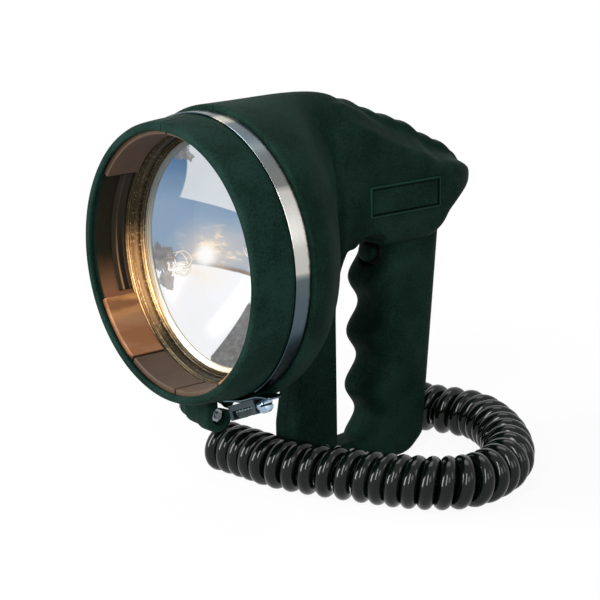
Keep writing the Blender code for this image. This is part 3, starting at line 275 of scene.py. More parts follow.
def mirrorLook():
    look = Look("silveredBowl", metallic=1.0, glowStrength=1.0)
    zones, soft = paintedMirrorZones, paintedMirrorZones["soft"]
    x, height = look.axis("X"), look.height()
    cloud, fine = look.noise(60.0, 4.0, 0.6), look.noise(330.0, 4.0, 0.7)
    wisp = look.fade(look.noise(95.0, 5.0, 0.7, look.at((0.5, 1.0, 1.6))), 0.48, 0.66)

    def awayFrom(point):
        return look.vector("DISTANCE", look.here(), tuple(spot(*point)))

    def past(value, edge):
        return look.fade(value, edge - soft, edge + soft)

    # painted reflection of a sky in the upper part, paler towards the horizon and in one crisp slanted patch
    sky = look.mix(look.fade(height + x * 0.3 + cloud * 0.014, 0.002, 0.052),
                   (0.27, 0.37, 0.5), (0.05, 0.145, 0.28))
    (sideSlope, sideAt), (footSlope, footAt) = zones["patchSide"], zones["patchFoot"]
    patch = past(x - height * sideSlope, sideAt) * past(height + x * footSlope, footAt)
    sky = look.mix(patch * (0.8 + cloud * 0.25), sky, (0.7, 0.73, 0.75))
    # painted reflection: white in the lower part under a thin golden line, with a dark wedge at its end
    tilt, start = zones["horizon"]
    edge = height + x * tilt + (cloud - 0.5) * 0.0016
    lower = look.fade(edge, start + soft, start - soft)
    line = look.fade(edge, *(start + rise for rise in zones["line"])) * (1 - lower) * look.fade(x, -0.04, -0.026)
    low = look.mix(look.fade(height, -0.02, -0.052), (0.94, 0.93, 0.94), (0.91, 0.905, 0.91))
    wedgeSlope, wedgeAt = zones["wedgeSide"]
    wedge = past(x - height * wedgeSlope, wedgeAt) * look.fade(height, *zones["wedgeTop"])
    low = look.mix(wedge, low, look.mix(fine, (0.03, 0.03, 0.03), (0.36, 0.36, 0.35)))
    picture = look.mix(lower, look.mix(line * 0.8, sky, (0.26, 0.14, 0.06)), low)
    # painted reflection of the bulb wires and clip, and of dark blots of the bulb base
    for point, reach in zones["loops"]:
        away = awayFrom(point) + (cloud - 0.5) * 0.003 + (fine - 0.5) * 0.0016
        for wide, share, colour in zones["loopWidths"]:
            ring = (look.fade(away, reach - wide, reach - wide + 0.0002)
                    * look.fade(away, reach + wide, reach + wide - 0.0002))
            picture = look.mix(ring * share, picture, colour)
    for point, reach in zones["reflectedBlots"]:
        grain = look.noise(240.0, 5.0, 0.75, look.at((1.0, 1.0, 0.45)))
        mirroredBlot = look.fade(grain * 1.4 - awayFrom(point) / reach * 0.62, 0.18, 0.24)
        picture = look.mix(mirroredBlot * 0.85, picture, look.mix(fine, (0.02, 0.02, 0.025), (0.42, 0.4, 0.38)))
    # painted glow of the lit bulb, with painted golden cloud along the horizon
    away = awayFrom(zones["glowAt"])
    warm = look.fade(away, 0.0, zones["glowReach"], 1.0, 0.0)
    band = look.fade(height + x * tilt, -0.0185, -0.015) * look.fade(height - x * 0.2, 0.017, 0.002)
    band = band * look.fade(x, -0.05, -0.036)
    picture = look.mix(band * (0.25 + wisp * 0.65), picture, (1.0, 0.8, 0.58))
    picture = look.mix(warm * (0.35 + wisp * 0.5), picture, (1.0, 0.82, 0.62))
    core = look.fade(away + (fine - 0.5) * 0.003, *zones["core"], 1.0, 0.0)
    picture = look.mix(core, picture, (1.0, 0.97, 0.93))
    # the painted picture also goes to the emission, so the bowl glows though it is no lamp
    look.feed("glow", picture)
    return look.finished(look.mix(1.0, picture, zones["base"], "MULTIPLY"), 0.1 + cloud * 0.1,
                         look.noise(70.0, 3.0), 0.1, 0.0006)


def bronzeLook():
    look = Look("bronzeRing", metallic=0.85)
    reach, height = look.reach(), look.height()
    worn = look.noise(420.0, 5.0, 0.7)
    # painted light: a lit band below the axis with painted glints, painted shade above it and at the bottom, and the
    # inner step painted paler towards the bottom
    paintedGlint = look.fade(look.noise(900.0, 4.0, 0.75), 0.55, 0.66)
    turning = (reach * 7400.0 + worn * 1.4).maths("SINE") * 0.5 + 0.5
    lit = look.fade(height + worn * 0.016, 0.02, -0.002) * look.fade(height - worn * 0.016, -0.058, -0.036)
    outer = look.mix(lit, look.mix(turning, (0.01, 0.009, 0.005), (0.058, 0.044, 0.024)),
                     look.mix(turning, (0.13, 0.06, 0.018), (0.8, 0.44, 0.18)))
    outer = look.mix(paintedGlint * (0.15 + lit * 0.85), outer, (0.98, 0.74, 0.42))
    pale = look.mix(look.fade(height, 0.03, -0.02), (0.2, 0.22, 0.21), (0.6, 0.55, 0.44))
    return look.finished(look.mix(look.fade(reach + worn * 0.0006, 0.0574, 0.0568), outer, pale),
                         0.22 + worn * 0.25, worn + turning * 0.6, 0.45, 0.0003)


def glassLook(name, tint, ior):
    look = Look(name, transmission=1.0, ior=ior)
    return look.finished(tint, look.fade(look.noise(24.0, 4.0, 0.6), 0.5, 0.8) * 0.03)


def cordLook():
    look = Look("glossPvc", specular=0.24)
    cloud = look.noise(90.0, 3.0)
    return look.finished(look.mix(cloud, (0.0008, 0.0024, 0.0014), (0.0022, 0.0048, 0.0034)), 0.1 + cloud * 0.05,
                         look.noise(70.0, 2.0), 0.012, 0.0004)


def filamentLook():
    look = Look("tungsten", metallic=0.6, glow=(1.0, 0.78, 0.5), glowStrength=6.0)
    grain = look.noise(2500.0, 2.0)
    return look.finished(look.mix(grain, (0.35, 0.31, 0.27), (0.5, 0.45, 0.4)), 0.4 + grain * 0.2)


housingRubber = rubberLook("housingRubber", (0.0034, 0.0112, 0.0076), (0.0086, 0.024, 0.0184))
shroudRubber = rubberLook("shroudRubber", (0.0038, 0.0126, 0.009), (0.0096, 0.0262, 0.0212), beamLit=True)
sealRubber = rubberLook("sealRubber", (0.006, 0.006, 0.006), (0.012, 0.012, 0.012), 0.1, 1100.0)
bandSteel = bandLook()
zincSteel = steelLook("zincSteel", (0.5, 0.56, 0.62), 0.2)
boltSteel = steelLook("boltSteel", (0.24, 0.27, 0.28), 0.2)
# saddle steel made dark all over as painted shade under the clamp
shadedSaddleSteel = steelLook("shadedSaddleSteel", (0.055, 0.075, 0.085), 0.26, (0.3, 3.0, 0.3))
contactBrass = steelLook("contactBrass", (0.72, 0.52, 0.24), 0.24)
bronze = bronzeLook()
silver = mirrorLook()
lensGlass = glassLook("lensGlass", (0.97, 0.985, 1.0), 1.14)
bulbGlass = glassLook("bulbGlass", (0.96, 0.97, 0.98), 1.45)
pvc = cordLook()
blackPlastic = plasticLook("blackPlastic", (0.003, 0.005, 0.005), 0.5, specular=0.06)
buttonPlastic = plasticLook("buttonPlastic", (0.0045, 0.014, 0.01), 0.45, specular=0.03)
blackWire = plasticLook("blackWire", (0.012, 0.012, 0.012), 0.3, 400.0, 0.05)
redWire = plasticLook("redWire", (0.36, 0.03, 0.025), 0.3, 400.0, 0.05)
greyPlastic = plasticLook("greyPlastic", (0.27, 0.27, 0.26), 0.45)
tungsten = filamentLook()
print("materials made:", len(bpy.data.materials))


def addPiece(name, verts, faces, finish=None, **rest):
    # finish is the look, the CAD node that the piece stands for and its slot; a cutting tool has none
    mesh = bpy.data.meshes.new(name)
    mesh.from_pydata([tuple(v) for v in verts], [], faces)
    shape = bmesh.new()
    shape.from_mesh(mesh)
    bmesh.ops.recalc_face_normals(shape, faces=shape.faces)
    shape.to_mesh(mesh)
    shape.free()
    piece = bpy.data.objects.new(name, mesh)
    bpy.context.scene.collection.objects.link(piece)
    if finish:
        dress(piece, *finish, **rest)
    else:
        piece.hide_render = True
    return piece


def dress(piece, look, node, slot, body="lamp", bevel=0.0, segments=2, sharp=32.0):
    piece.data.materials.clear()
    piece.data.materials.append(look)
    piece.data.shade_smooth()
    piece.data.set_sharp_from_angle(angle=radians(sharp))
    if bevel:
        soften(piece, bevel, segments)
    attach(piece, body)
    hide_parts(node)


def soften(piece, width, segments=2):
    edge = piece.modifiers.new("edges", "BEVEL")
    edge.width, edge.segments = width, segments
    edge.limit_method, edge.angle_limit = "ANGLE", radians(32)


def roundPoint(centre, side, up, turn, radius):
    return centre + (side * cos(turn) + up * sin(turn)) * radius


def unitShare(value):
    return min(1.0, max(0.0, value))


def reading(table, value):  # straight-line reading of a table of pairs
    for (low, first), (high, last) in zip(table, table[1:]):
        if value <= high:
            return first + (last - first) * (value - low) / (high - low)
    return table[-1][1]


def stepped(start, *steps):  # outline of stacked discs, each a radius and the depth where it ends
    outline = [(0.0, start)]
    for radius, end in steps:
        outline += [(radius, start), (radius, end)]
        start = end
    return outline + [(0.0, start)]


def turnedShape(outline, steps, centre, axis):
    along = Vector(axis).normalized()
    side = Vector((1, 0, 0)) if abs(along.x) < 0.7 else Vector((0, 1, 0))
    up = along.cross(side).normalized()
    side = up.cross(along).normalized()
    verts, rings, faces = [], [], []
    for radius, distance in outline:
        start, count = len(verts), steps if radius > 0 else 1
        for k in range(count):
            verts.append(roundPoint(centre + along * distance, side, up, 2 * pi * (k + 0.5) / steps, radius))
        rings.append([start + k % count for k in range(steps)])
    for one, two in zip(rings, rings[1:] + rings[:1]):
        for k in range(steps):
            kept = list(dict.fromkeys([one[k], one[(k + 1) % steps], two[(k + 1) % steps], two[k]]))
            if len(kept) > 2:
                faces.append(kept)
    return verts, faces


def turned(name, outline, finish, steps=96, centre=spot(0, 0, 0), axis=(0, 1, 0), **rest):
    return addPiece(name, *turnedShape(outline, steps, centre, axis), finish, **rest)


def loftShape(rings):
    count = len(rings[0])
    verts = [point for ring in rings for point in ring]
    faces = [list(range(count)), list(range(len(verts) - count, len(verts)))]
    for k in range(len(rings) - 1):
        for j in range(count):
            here, after = k * count + j, k * count + (j + 1) % count
            faces.append([here, after, after + count, here + count])
    return verts, faces


def lofted(name, rings, finish=None, **rest):
    return addPiece(name, *loftShape(rings), finish, **rest)


def sweepArc(name, profile, firstDeg, lastDeg, steps, finish, **rest):
    turns = [radians(firstDeg + (lastDeg - firstDeg) * k / steps) for k in range(steps + 1)]
    return lofted(name, [[spot(radius * cos(turn), depth, radius * sin(turn)) for radius, depth in profile]
                         for turn in turns], finish, **rest)


def boxShape(low, high, pose=Matrix()):
    corners = [pose @ Vector((x, y, z)) for x in (low[0], high[0]) for y in (low[1], high[1])
               for z in (low[2], high[2])]
    return corners, [[0, 1, 3, 2], [4, 6, 7, 5], [0, 4, 5, 1], [2, 3, 7, 6], [0, 2, 6, 4], [1, 5, 7, 3]]


def cornerPoints(low, high, corner, steps):  # rounded rectangle
    points = []
    for right, upper, first in ((1, 1, 0), (0, 1, 1), (0, 0, 2), (1, 0, 3)):
        for k in range(steps + 1):
            turn = pi / 2 * (first + k / steps)
            points.append(((high[0] - corner if right else low[0] + corner) + corner * cos(turn),
                           (high[1] - corner if upper else low[1] + corner) + corner * sin(turn)))
    return points


def fours(points, closed=False):  # each stretch of a line with its neighbours
    if closed:
        padded = points[-1:] + points + points[:2]
    else:
        padded = [points[0] * 2 - points[1]] + points + [points[-1] * 2 - points[-2]]
    return zip(padded, padded[1:], padded[2:], padded[3:])


def lineThrough(points, parts, closed=False):
    # smooth curve through the points that never swings wide where they crowd together
    def weigh(p, q, low, high, t):
        return p * ((high - t) / (high - low)) + q * ((t - low) / (high - low))

    made = []
    for a, b, c, d in fours(points, closed):
        times = [0.0]
        for here, after in ((a, b), (b, c), (c, d)):
            times.append(times[-1] + max((after - here).length, 1e-7) ** 0.5)
        t0, t1, t2, t3 = times
        for j in range(parts):
            t = t1 + (t2 - t1) * j / parts
            bc = weigh(b, c, t1, t2, t)
            made.append(weigh(weigh(weigh(a, b, t0, t1, t), bc, t0, t2, t),
                              weigh(bc, weigh(c, d, t2, t3, t), t1, t3, t), t1, t2, t))
    return made if closed else made + [points[-1].copy()]


def refined(rings, across, along):  # more points round each ring, and more rings
    rings = [lineThrough(ring, across, True) for ring in rings]
    columns = [lineThrough([ring[k] for ring in rings], along) for k in range(len(rings[0]))]
    return [[column[k] for column in columns] for k in range(len(columns[0]))]


def baked(piece):  # the piece's mesh with its modifiers applied
    piece.hide_render = False
    bpy.context.view_layer.update()
    graph = bpy.context.evaluated_depsgraph_get()
    mesh = bpy.data.meshes.new_from_object(piece.evaluated_get(graph), depsgraph=graph)
    piece.modifiers.clear()
    piece.data = mesh
    return piece


def carve(target, tool, operation="DIFFERENCE", solver="MANIFOLD"):
    step = target.modifiers.new(operation.lower(), "BOOLEAN")
    step.operation, step.object, step.solver = operation, tool, solver
    return target


# curly cord, along the CAD part's own route
cord = dict(diameter=0.0082, coilRadius=0.013, lift=0.0002, curlPoints=44, pitch=0.01, leastSpacing=0.0064,
    mostSpacing=0.0076, sides=7, routeParts=24, bendSpan=6, endParts=6,
    route=[(-0.041, 0.1755), (-0.023, 0.1755), (-0.007, 0.1762), (0.005, 0.18), (0.015, 0.183), (0.027, 0.183),
        (0.0478, 0.174), (0.07, 0.158), (0.0857, 0.1403), (0.0928, 0.1215), (0.093, 0.106), (0.085, 0.093),
        (0.072, 0.083), (0.056, 0.0755), (0.037, 0.067), (0.02, 0.0605), (0.007, 0.0572), (-0.005, 0.0567),
        (-0.0175, 0.056), (-0.031, 0.0548)],
    pitchShares=[(0.0, 0.98), (0.25, 1.02), (0.3, 1.1), (0.45, 1.08), (0.52, 0.82), (0.6, 0.7), (0.66, 0.7),
        (0.7, 0.8), (0.74, 0.96), (0.8, 0.93), (0.86, 0.84), (1.0, 0.8)],
    tail=[(-0.0335, 0.064), (-0.0312, 0.074), (-0.0262, 0.083), (-0.0222, 0.0905)])
outlet = dict(rootX=-0.01, rootDepth=0.1445, lift=0.019, angle=148.0, bossRadius=0.0078, bossLength=0.0085,
    glandRadius=0.007, glandLength=0.0036, bootRadius=0.0055, bootTip=0.0042, bootLength=0.01, bootRibs=3)
plug = dict(radius=0.0075, x=-0.03, startDepth=0.103, turn=140.0, bootLength=0.011, bodyLength=0.024, ribs=5,
    ribHeight=0.0006, noseRadius=0.006, noseLength=0.0105, ringThickness=0.0005, pinRadius=0.002, pinLength=0.003)


def wayAt(angle):
    return Vector((cos(radians(angle)), sin(radians(angle)), 0))


exitWay, plugWay = wayAt(outlet["angle"]), wayAt(plug["turn"])
exitRoot = spot(outlet["rootX"], outlet["rootDepth"], ground + outlet["lift"])
glandStart = outlet["bossLength"] + gap
glandEnd = glandStart + outlet["glandLength"]
bootStart = glandEnd + gap
bootEnd = bootStart + outlet["bootLength"]
plugAxis = spot(plug["x"], plug["startDepth"], ground + plug["radius"] + cord["lift"])


def easyLine(points, parts):  # the curve that the CAD's route uses, in even steps of each stretch
    made = []
    for a, b, c, d in fours(points):
        for t in (k / parts for k in range(parts)):
            made.append(0.5 * (2 * b + (c - a) * t + (2 * a - 5 * b + 4 * c - d) * t ** 2
                               + (3 * b - 3 * c + d - a) * t ** 3))
    return made + [points[-1].copy()]


def cordPoints():
    diameter, parts = cord["diameter"], cord["endParts"]
    route = [spot(x, depth, ground + cord["coilRadius"] + cord["lift"]) for x, depth in cord["route"]]
    line = easyLine(route, cord["routeParts"])
    lengths = [0.0]
    for before, after in zip(line, line[1:]):
        lengths.append(lengths[-1] + (after - before).length)
    helix = cord["coilRadius"] - diameter / 2
    turns = [0.0]
    for k in range(1, len(line)):  # turns open where the route bends, so that their inner sides clear
        low, high = max(k - cord["bendSpan"], 1), min(k + cord["bendSpan"], len(line) - 1)
        bend = (line[low] - line[low - 1]).angle(line[high] - line[high - 1]) / (lengths[high] - lengths[low])
        share = (lengths[k] + lengths[k - 1]) / 2 / lengths[-1]
        pitch = max(cord["pitch"] * reading(cord["pitchShares"], share),
                    min(cord["leastSpacing"] / (1 - helix * bend), cord["mostSpacing"]))
        turns.append(turns[-1] + (lengths[k] - lengths[k - 1]) / pitch)
    whole = floor(turns[-1]) + 0.5
    turns = [value * whole / turns[-1] for value in turns]
    curls, count, k = [], int(whole * cord["curlPoints"]), 0
    for j in range(count + 1):
        wanted = whole * j / count
        while k < len(turns) - 2 and turns[k + 1] < wanted:
            k += 1
        share = min(1.0, (wanted - turns[k]) / (turns[k + 1] - turns[k]))
        heading = (line[min(k + 2, len(line) - 1)] - line[max(k - 1, 0)]).normalized()
        side = heading.cross(Vector((0, 0, 1)))
        turn = -2 * pi * wanted
        curls.append(line[k].lerp(line[k + 1], share) + Vector((0, 0, helix * cos(turn)))
                     + side * (helix * sin(turn)))
    # straight out of the boot and round into the first curl, then from the last one along the ground to the plug
    start = exitRoot + exitWay * (bootEnd + gap)
    leadIn = [start, start + exitWay * diameter,
              start + exitWay * diameter * 1.7 + Vector((0, diameter * 0.25, diameter * 0.1)),
              curls[0] - Vector((0, diameter * 0.8, 0))]
    early = easyLine(leadIn + [curls[0], curls[2]], parts)[parts:-parts]
    end = plugAxis - plugWay * gap
    resting = [spot(x, depth, ground + diameter / 2 + cord["lift"]) for x, depth in cord["tail"]]
    late = easyLine([curls[-3], curls[-1]] + resting + [end - plugWay * diameter, end], parts)[parts + 1:-parts]
    return [start] + early[:-1] + curls + late + [end]


def makeCord():
    points = cordPoints()
    curve = bpy.data.curves.new("coiled_lead", "CURVE")
    curve.dimensions, curve.twist_mode, curve.use_fill_caps = "3D", "MINIMUM", True
    curve.bevel_depth, curve.bevel_resolution = cord["diameter"] / 2, cord["sides"]
    line = curve.splines.new("POLY")
    line.points.add(len(points) - 1)
    for here, point in zip(line.points, points):
        here.co = (*point, 1.0)
    line.use_smooth = True
    piece = bpy.data.objects.new("coiled_lead", curve)
    bpy.context.scene.collection.objects.link(piece)
    curve.materials.append(pvc)
    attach(piece, "lamp")
    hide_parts("curly_cord")
    length = sum((b - a).length for a, b in zip(points, points[1:]))
    print("cord: %d points, %.3f m" % (len(points), length))
    return piece, length


lead, leadLength = makeCord()
# share of one rib's length, and of the boot's radius there
ribProfile = ((0.0, 0.9), (0.06, 1.0), (0.5, 1.0), (0.58, 0.97), (0.68, 0.82), (0.92, 0.82))


def ribbedBoot(name, start, end, wide, narrow, centre, way, node):
    outline = [(0.0, start)]
    for k in range(outlet["bootRibs"]):
        for share, height in ribProfile:
            along = (k + share) / outlet["bootRibs"]
            outline.append(((wide + (narrow - wide) * along) * height, start + (end - start) * along))
    outline += [(narrow * 0.9, end), (0.0, end)]
    return turned(name, outline, (blackPlastic, node, "black_plastic"), 48, centre, way, bevel=0.00012)


def makePlug():
    radius, nose, length = pick(plug, "radius noseRadius bodyLength")
    sleeve = ribbedBoot("plug_relief", plug["bootLength"], 0.0, radius * 0.8, outlet["bootTip"], plugAxis, plugWay,
                        "plug_boot")
    start = plug["bootLength"] + gap
    end = start + length
    seat = end - length * 0.15
    outline, ribShares = [(0.0, start), (radius * 0.8, start)], ((0.25, 0.0), (0.6, 0.0), (0.7, 1.0), (0.9, 1.0))
    for k in range(plug["ribs"]):
        for share, drop in ribShares:
            outline.append((radius - plug["ribHeight"] * drop, start + length * 0.75 * (k + share) / plug["ribs"]))
    outline += [(radius, seat), (nose, seat + radius * 0.2), (nose, end), (0.0, end)]
    shell = turned("plug_shell", outline, (blackPlastic, "plug_body", "black_plastic"), 64, plugAxis, plugWay,
                   bevel=0.0002)
    start = end + gap
    end = start + plug["noseLength"]
    mouth = nose * 0.8 - plug["ringThickness"]
    ring = turned("plug_ring", [
        (nose - plug["ringThickness"], start), (nose, start), (nose, end),
        (nose * 0.8, start + plug["noseLength"] * 1.05), (mouth, end)],
        (contactBrass, "plug_sleeve", "contact_brass"), 64, plugAxis, plugWay, bevel=0.0001)
    pin = stepped(start, (mouth - gap, end), (plug["pinRadius"], end + plug["pinLength"]))
    tip = turned("plug_tip", pin[:-1] + [(0.0, end + plug["pinLength"] * 1.2)],
                 (contactBrass, "plug_pin", "contact_brass"), 48, plugAxis, plugWay, bevel=0.0002)
    return [sleeve, shell, ring, tip]


nut = outlet["glandRadius"]
glandNut = turned("gland_nut", [
    (0.0, glandStart), (nut, glandStart), (nut, glandEnd - outlet["glandLength"] * 0.2), (nut * 0.88, glandEnd),
    (0.0, glandEnd)], (blackPlastic, "cord_gland", "black_plastic"), 6, exitRoot, exitWay, bevel=0.0003)
cordSleeve = ribbedBoot("cord_sleeve", bootStart, bootEnd, outlet["bootRadius"], outlet["bootTip"],
                        exitRoot, exitWay, "cord_boot")
tuple(exitRoot + exitWay * bootEnd)
makePlug() + [cordSleeve, glandNut]
print("cord and plug made")

# housing: soft moulded rubber, shaped as one blank and split at the seam
head = dict(rear=0.0716, shroud=0.0679, bore=0.0639, lipInner=0.0623, bandFront=0.021, bandWidth=0.009,
    bandThickness=0.0008, seat=0.0586, seatFront=0.0337, seatDepth=0.038, opening=0.056, seam=0.0003,
    room=[(0.04, 0.06), (0.0165, 0.074), (0.0125, 0.093), (0.0, 0.093)])
hood = dict(start=0.086, halfWidth=0.024, underside=-0.006, ridgeHalf=0.008, ridgeHeight=0.0062, ridgeRound=0.0024,
    waveHeight=0.0006, wavePitch=0.0128, waveSpan=(0.07, 0.95), waveReach=1.4)
grip = dict(halfWidth=0.016, corner=0.012, front=0.1252, rear=0.1695, lean=0.005, rearLean=0.0125, heelCut=0.0095,
    heelCutHeight=0.0086, pitch=0.0287, swell=0.0038, firstBump=-0.027, top=0.012, soleRound=0.003)
column = dict(halfWidth=0.0095, corner=0.0035, front=0.0705, topFront=0.0745, rear=0.099, topHalf=0.0215,
    topHeight=0.015, flare=-0.002, neck=-0.045, base=0.0115)
boss = dict(depth=0.022, height=-0.0757, radius=0.0082, nearX=0.01, farX=-0.017, round=0.001, bolt=0.0018,
    recess=0.0046, recessDepth=0.0055, steps=[(1.0, 0.36), (0.8, 0.4), (0.55, 0.24)])
button = dict(height=-0.013, radius=0.0052, front=0.1248, flange=0.0066, flangeThick=0.0012, collar=0.0078,
    collarThick=0.0016, cavityFront=0.132, cavityDepth=0.008)
# depth, height and length of each screw's hole, as a share of the longest
screwHoles = dict(hood_front=(0.104, 0.05, 1.0), hood_rear=(0.168, 0.014, 0.9), grip=(0.15, -0.052, 0.9),
    heel=(0.1487, -0.1125, 0.75), foot=(0.085, -0.105, 0.45))
screwHole = dict(radius=0.0032, bottom=-0.006)
# crease in front of the hood: how far the side is drawn in along the depth, and where it fades out
crease = dict(drawIn=[(0.072, 0.0), (0.077, 0.001), (0.0815, 0.0032), (0.0848, 0.004), (0.0872, 0.003),
        (0.0892, 0.0002), (0.0905, 0.0)], top=0.064, topFade=0.01, foot=-0.04, footFade=0.02, most=0.3)
# depth and height round the arched top of the opening between grip and column
arch = [(0.099, -0.03), (0.0985, -0.02), (0.0987, -0.012), (0.1, -0.0058), (0.1025, -0.001),
        (0.1062, 0.0015), (0.111, 0.0022), (0.1165, 0.0008), (0.1205, -0.0025), (0.1205, -0.03)]
skin = dict(voxel=0.0008, smooth=4, strength=0.5)
grooveFront = head["bandFront"] - gap
grooveRear = head["bandFront"] + head["bandWidth"] + gap
# share of the way back, then half width, top and underside in head radii, and how square the section is
headBackShares = [
    (0.0, 1.0, 1.0, -1.0, 0.0), (0.2, 0.966, 1.003, -0.982, 0.0), (0.39, 0.873, 1.008, -0.922, 0.0),
    (0.57, 0.735, 1.015, -0.796, 0.05), (0.71, 0.6, 1.02, -0.642, 0.2), (0.86, 0.48, 1.02, -0.419, 0.45),
    (1.0, 0.391, 1.015, -0.168, 0.7)]
# share of the way back, half width, top and underside as shares of the hood, and how proud the ridge is
hoodShares = [
    (0.083, 1.04, 1.0, 0.0, 0.1), (0.167, 1.0, 0.97, 0.0, 0.2), (0.259, 1.0, 0.928, 0.0, 0.4),
    (0.37, 1.0, 0.862, 0.0, 0.7), (0.509, 1.0, 0.795, 0.0, 1.0), (0.602, 1.0, 0.745, 0.0, 1.0),
    (0.685, 0.98, 0.672, 0.052, 1.0), (0.741, 0.93, 0.642, 0.129, 0.95), (0.787, 0.9, 0.614, 0.18, 0.9),
    (0.833, 0.84, 0.584, 0.222, 0.8), (0.88, 0.75, 0.545, 0.258, 0.65), (0.926, 0.61, 0.49, 0.29, 0.45),
    (0.963, 0.45, 0.435, 0.312, 0.2), (0.991, 0.27, 0.395, 0.325, 0.0), (1.0, 0.12, 0.375, 0.335, 0.0)]
# the section's side from the ridge down: share of the half width, share of the way down
hoodSideShares = [
    (0.7, 0.085), (0.88, 0.15), (0.97, 0.24), (1.0, 0.36), (1.0, 0.55), (1.0, 0.72),
    (0.985, 0.85), (0.94, 0.935), (0.85, 0.985), (0.62, 1.0), (0.3, 1.0), (0.0, 1.0)]


def bodySection(depth, width, top, under, form, ridge):  # form goes from the round head, 0, to the hood, 1
    reach = min(1.0, width / hood["halfWidth"])
    ridgeHalf, shoulder = hood["ridgeHalf"] * reach, hood["ridgeRound"] * reach
    drop = hood["ridgeHeight"] * ridge
    start = top - shoulder - drop
    side = [(0.0, top), (0.5 * ridgeHalf, top - 0.2 * shoulder), (ridgeHalf, top - shoulder),
            (ridgeHalf + 0.5 * shoulder, top - shoulder - 0.7 * drop), (ridgeHalf + 1.4 * shoulder, start)]
    for across, down in hoodSideShares:
        least = (ridgeHalf + 1.5 * shoulder) * (down < 0.1)
        side.append((max(width * across, least), start + (under - start) * down))
    half = []
    for k, (x, z) in enumerate(side):
        turn = pi / 2 - pi * k / (len(side) - 1)
        roundZ = sin(turn) * (top if turn > 0 else -under)
        half.append((x * form + width * cos(turn) * (1 - form), z * form + roundZ * (1 - form)))
    return [spot(x, depth, z) for x, z in half + [(-x, z) for x, z in half[-2:0:-1]]]


def bodyRings():
    rings, rear, start = [], head["rear"], hood["start"]
    rise = rear - hood["underside"]
    for along, width, top, under, form in headBackShares:
        rings.append(bodySection(grooveRear + along * (start - grooveRear), width * rear, top * rear, under * rear,
                                 form, 0.0))
    for along, width, top, under, ridge in hoodShares:
        rings.append(bodySection(start + along * (place["depth"] - start), width * hood["halfWidth"],
                                 hood["underside"] + top * rise, hood["underside"] + under * rise,
                                 0.9 if along == hoodShares[0][0] else 1.0, ridge))
    rings = refined(rings, 4, 6)
    waveStart, waveEnd = (share * place["depth"] for share in hood["waveSpan"])
    waveStart += start
    for ring in rings:
        depth = ring[0].y + place["depth"] / 2
        drawIn = max(0.0, reading(crease["drawIn"], depth))
        for point in ring:
            height = point.z - place["axisHeight"]
            keep = (unitShare((crease["top"] - height) / crease["topFade"])
                    * unitShare((height - crease["foot"]) / crease["footFade"]))
            point.x -= copysign(min(drawIn * keep, abs(point.x) * crease["most"]), point.x)
        if waveStart < depth < waveEnd:  # shallow waves along the crest of the ridge
            wave = cos(2 * pi * (depth - waveStart) / hood["wavePitch"]) - 1
            for point in ring:
                near = max(0.0, 1 - abs(point.x) / (hood["ridgeHalf"] * hood["waveReach"]))
                if point.z > ring[0].z - hood["ridgeHeight"]:
                    point.z += hood["waveHeight"] * wave * near ** 0.6
    return rings


def roundedRing(halfWidth, low, high, corner, level, upright=False):
    corner = min(corner, halfWidth, (high - low) / 2)
    return [spot(x, level, y) if upright else spot(x, y, level)
            for x, y in cornerPoints((-halfWidth, low), (halfWidth, high), corner, 7)]


def gripFront(height):
    lean = (grip["firstBump"] - height) / (grip["firstBump"] - ground) * grip["lean"]
    return grip["front"] - lean - grip["swell"] * cos(2 * pi * (height - grip["firstBump"]) / grip["pitch"])


def gripRear(height):
    cutOff = grip["heelCut"] * max(0.0, 1 - (height - ground) / grip["heelCutHeight"])
    return grip["rear"] + height / -ground * grip["rearLean"] - cutOff


def gripRings(count=64, soleSteps=5):
    rings, sole = [], grip["soleRound"]
    for k in range(count + 1):
        height = grip["top"] + (ground + sole - grip["top"]) * k / count
        rings.append(roundedRing(grip["halfWidth"], gripFront(height), gripRear(height), grip["corner"], height))
    for k in range(1, soleSteps + 1):
        turn = pi / 2 * k / soleSteps
        height, inset = ground + sole * (1 - sin(turn)), sole * (1 - cos(turn))
        rings.append(roundedRing(grip["halfWidth"] - inset, gripFront(height) + inset * 0.3,
                                 gripRear(height) - inset, grip["corner"], height))
    return rings


def columnRings(steps=20):
    half, topHalf, front, topFront, flare, neck = pick(column, "halfWidth topHalf front topFront flare neck")
    rings, sole = [(column["topHeight"], topHalf, topFront, 0.0)], grip["soleRound"]
    for k in range(steps + 1):
        spread = (topHalf - half) * (1 - k / steps) ** 2.5
        rings.append((flare + (neck - flare) * k / steps, half + spread, topFront, 0.0))
    rings += [(-head["rear"], half, topFront, 0.0), (-head["rear"] * 1.3, half, front, 0.0),
              (ground + sole, half, front, 0.0), (ground, half, front, sole)]
    return [roundedRing(half - inset / 2, front + inset, column["rear"], column["corner"], height)
            for height, half, front, inset in rings]


def baseRings(steps=12):
    middle, heel, rings = (column["front"] + column["rear"]) / 2, grip["front"] + grip["corner"], []
    for k in range(steps + 1):
        share = k / steps
        half = column["halfWidth"] + (grip["halfWidth"] - column["halfWidth"]) * share ** 2 - grip["soleRound"] / 2
        rings.append(roundedRing(half, ground, ground + column["base"], grip["soleRound"],
                                 middle + (heel - middle) * share, True))
    return rings


bossCentre = spot(0, boss["depth"], boss["height"])


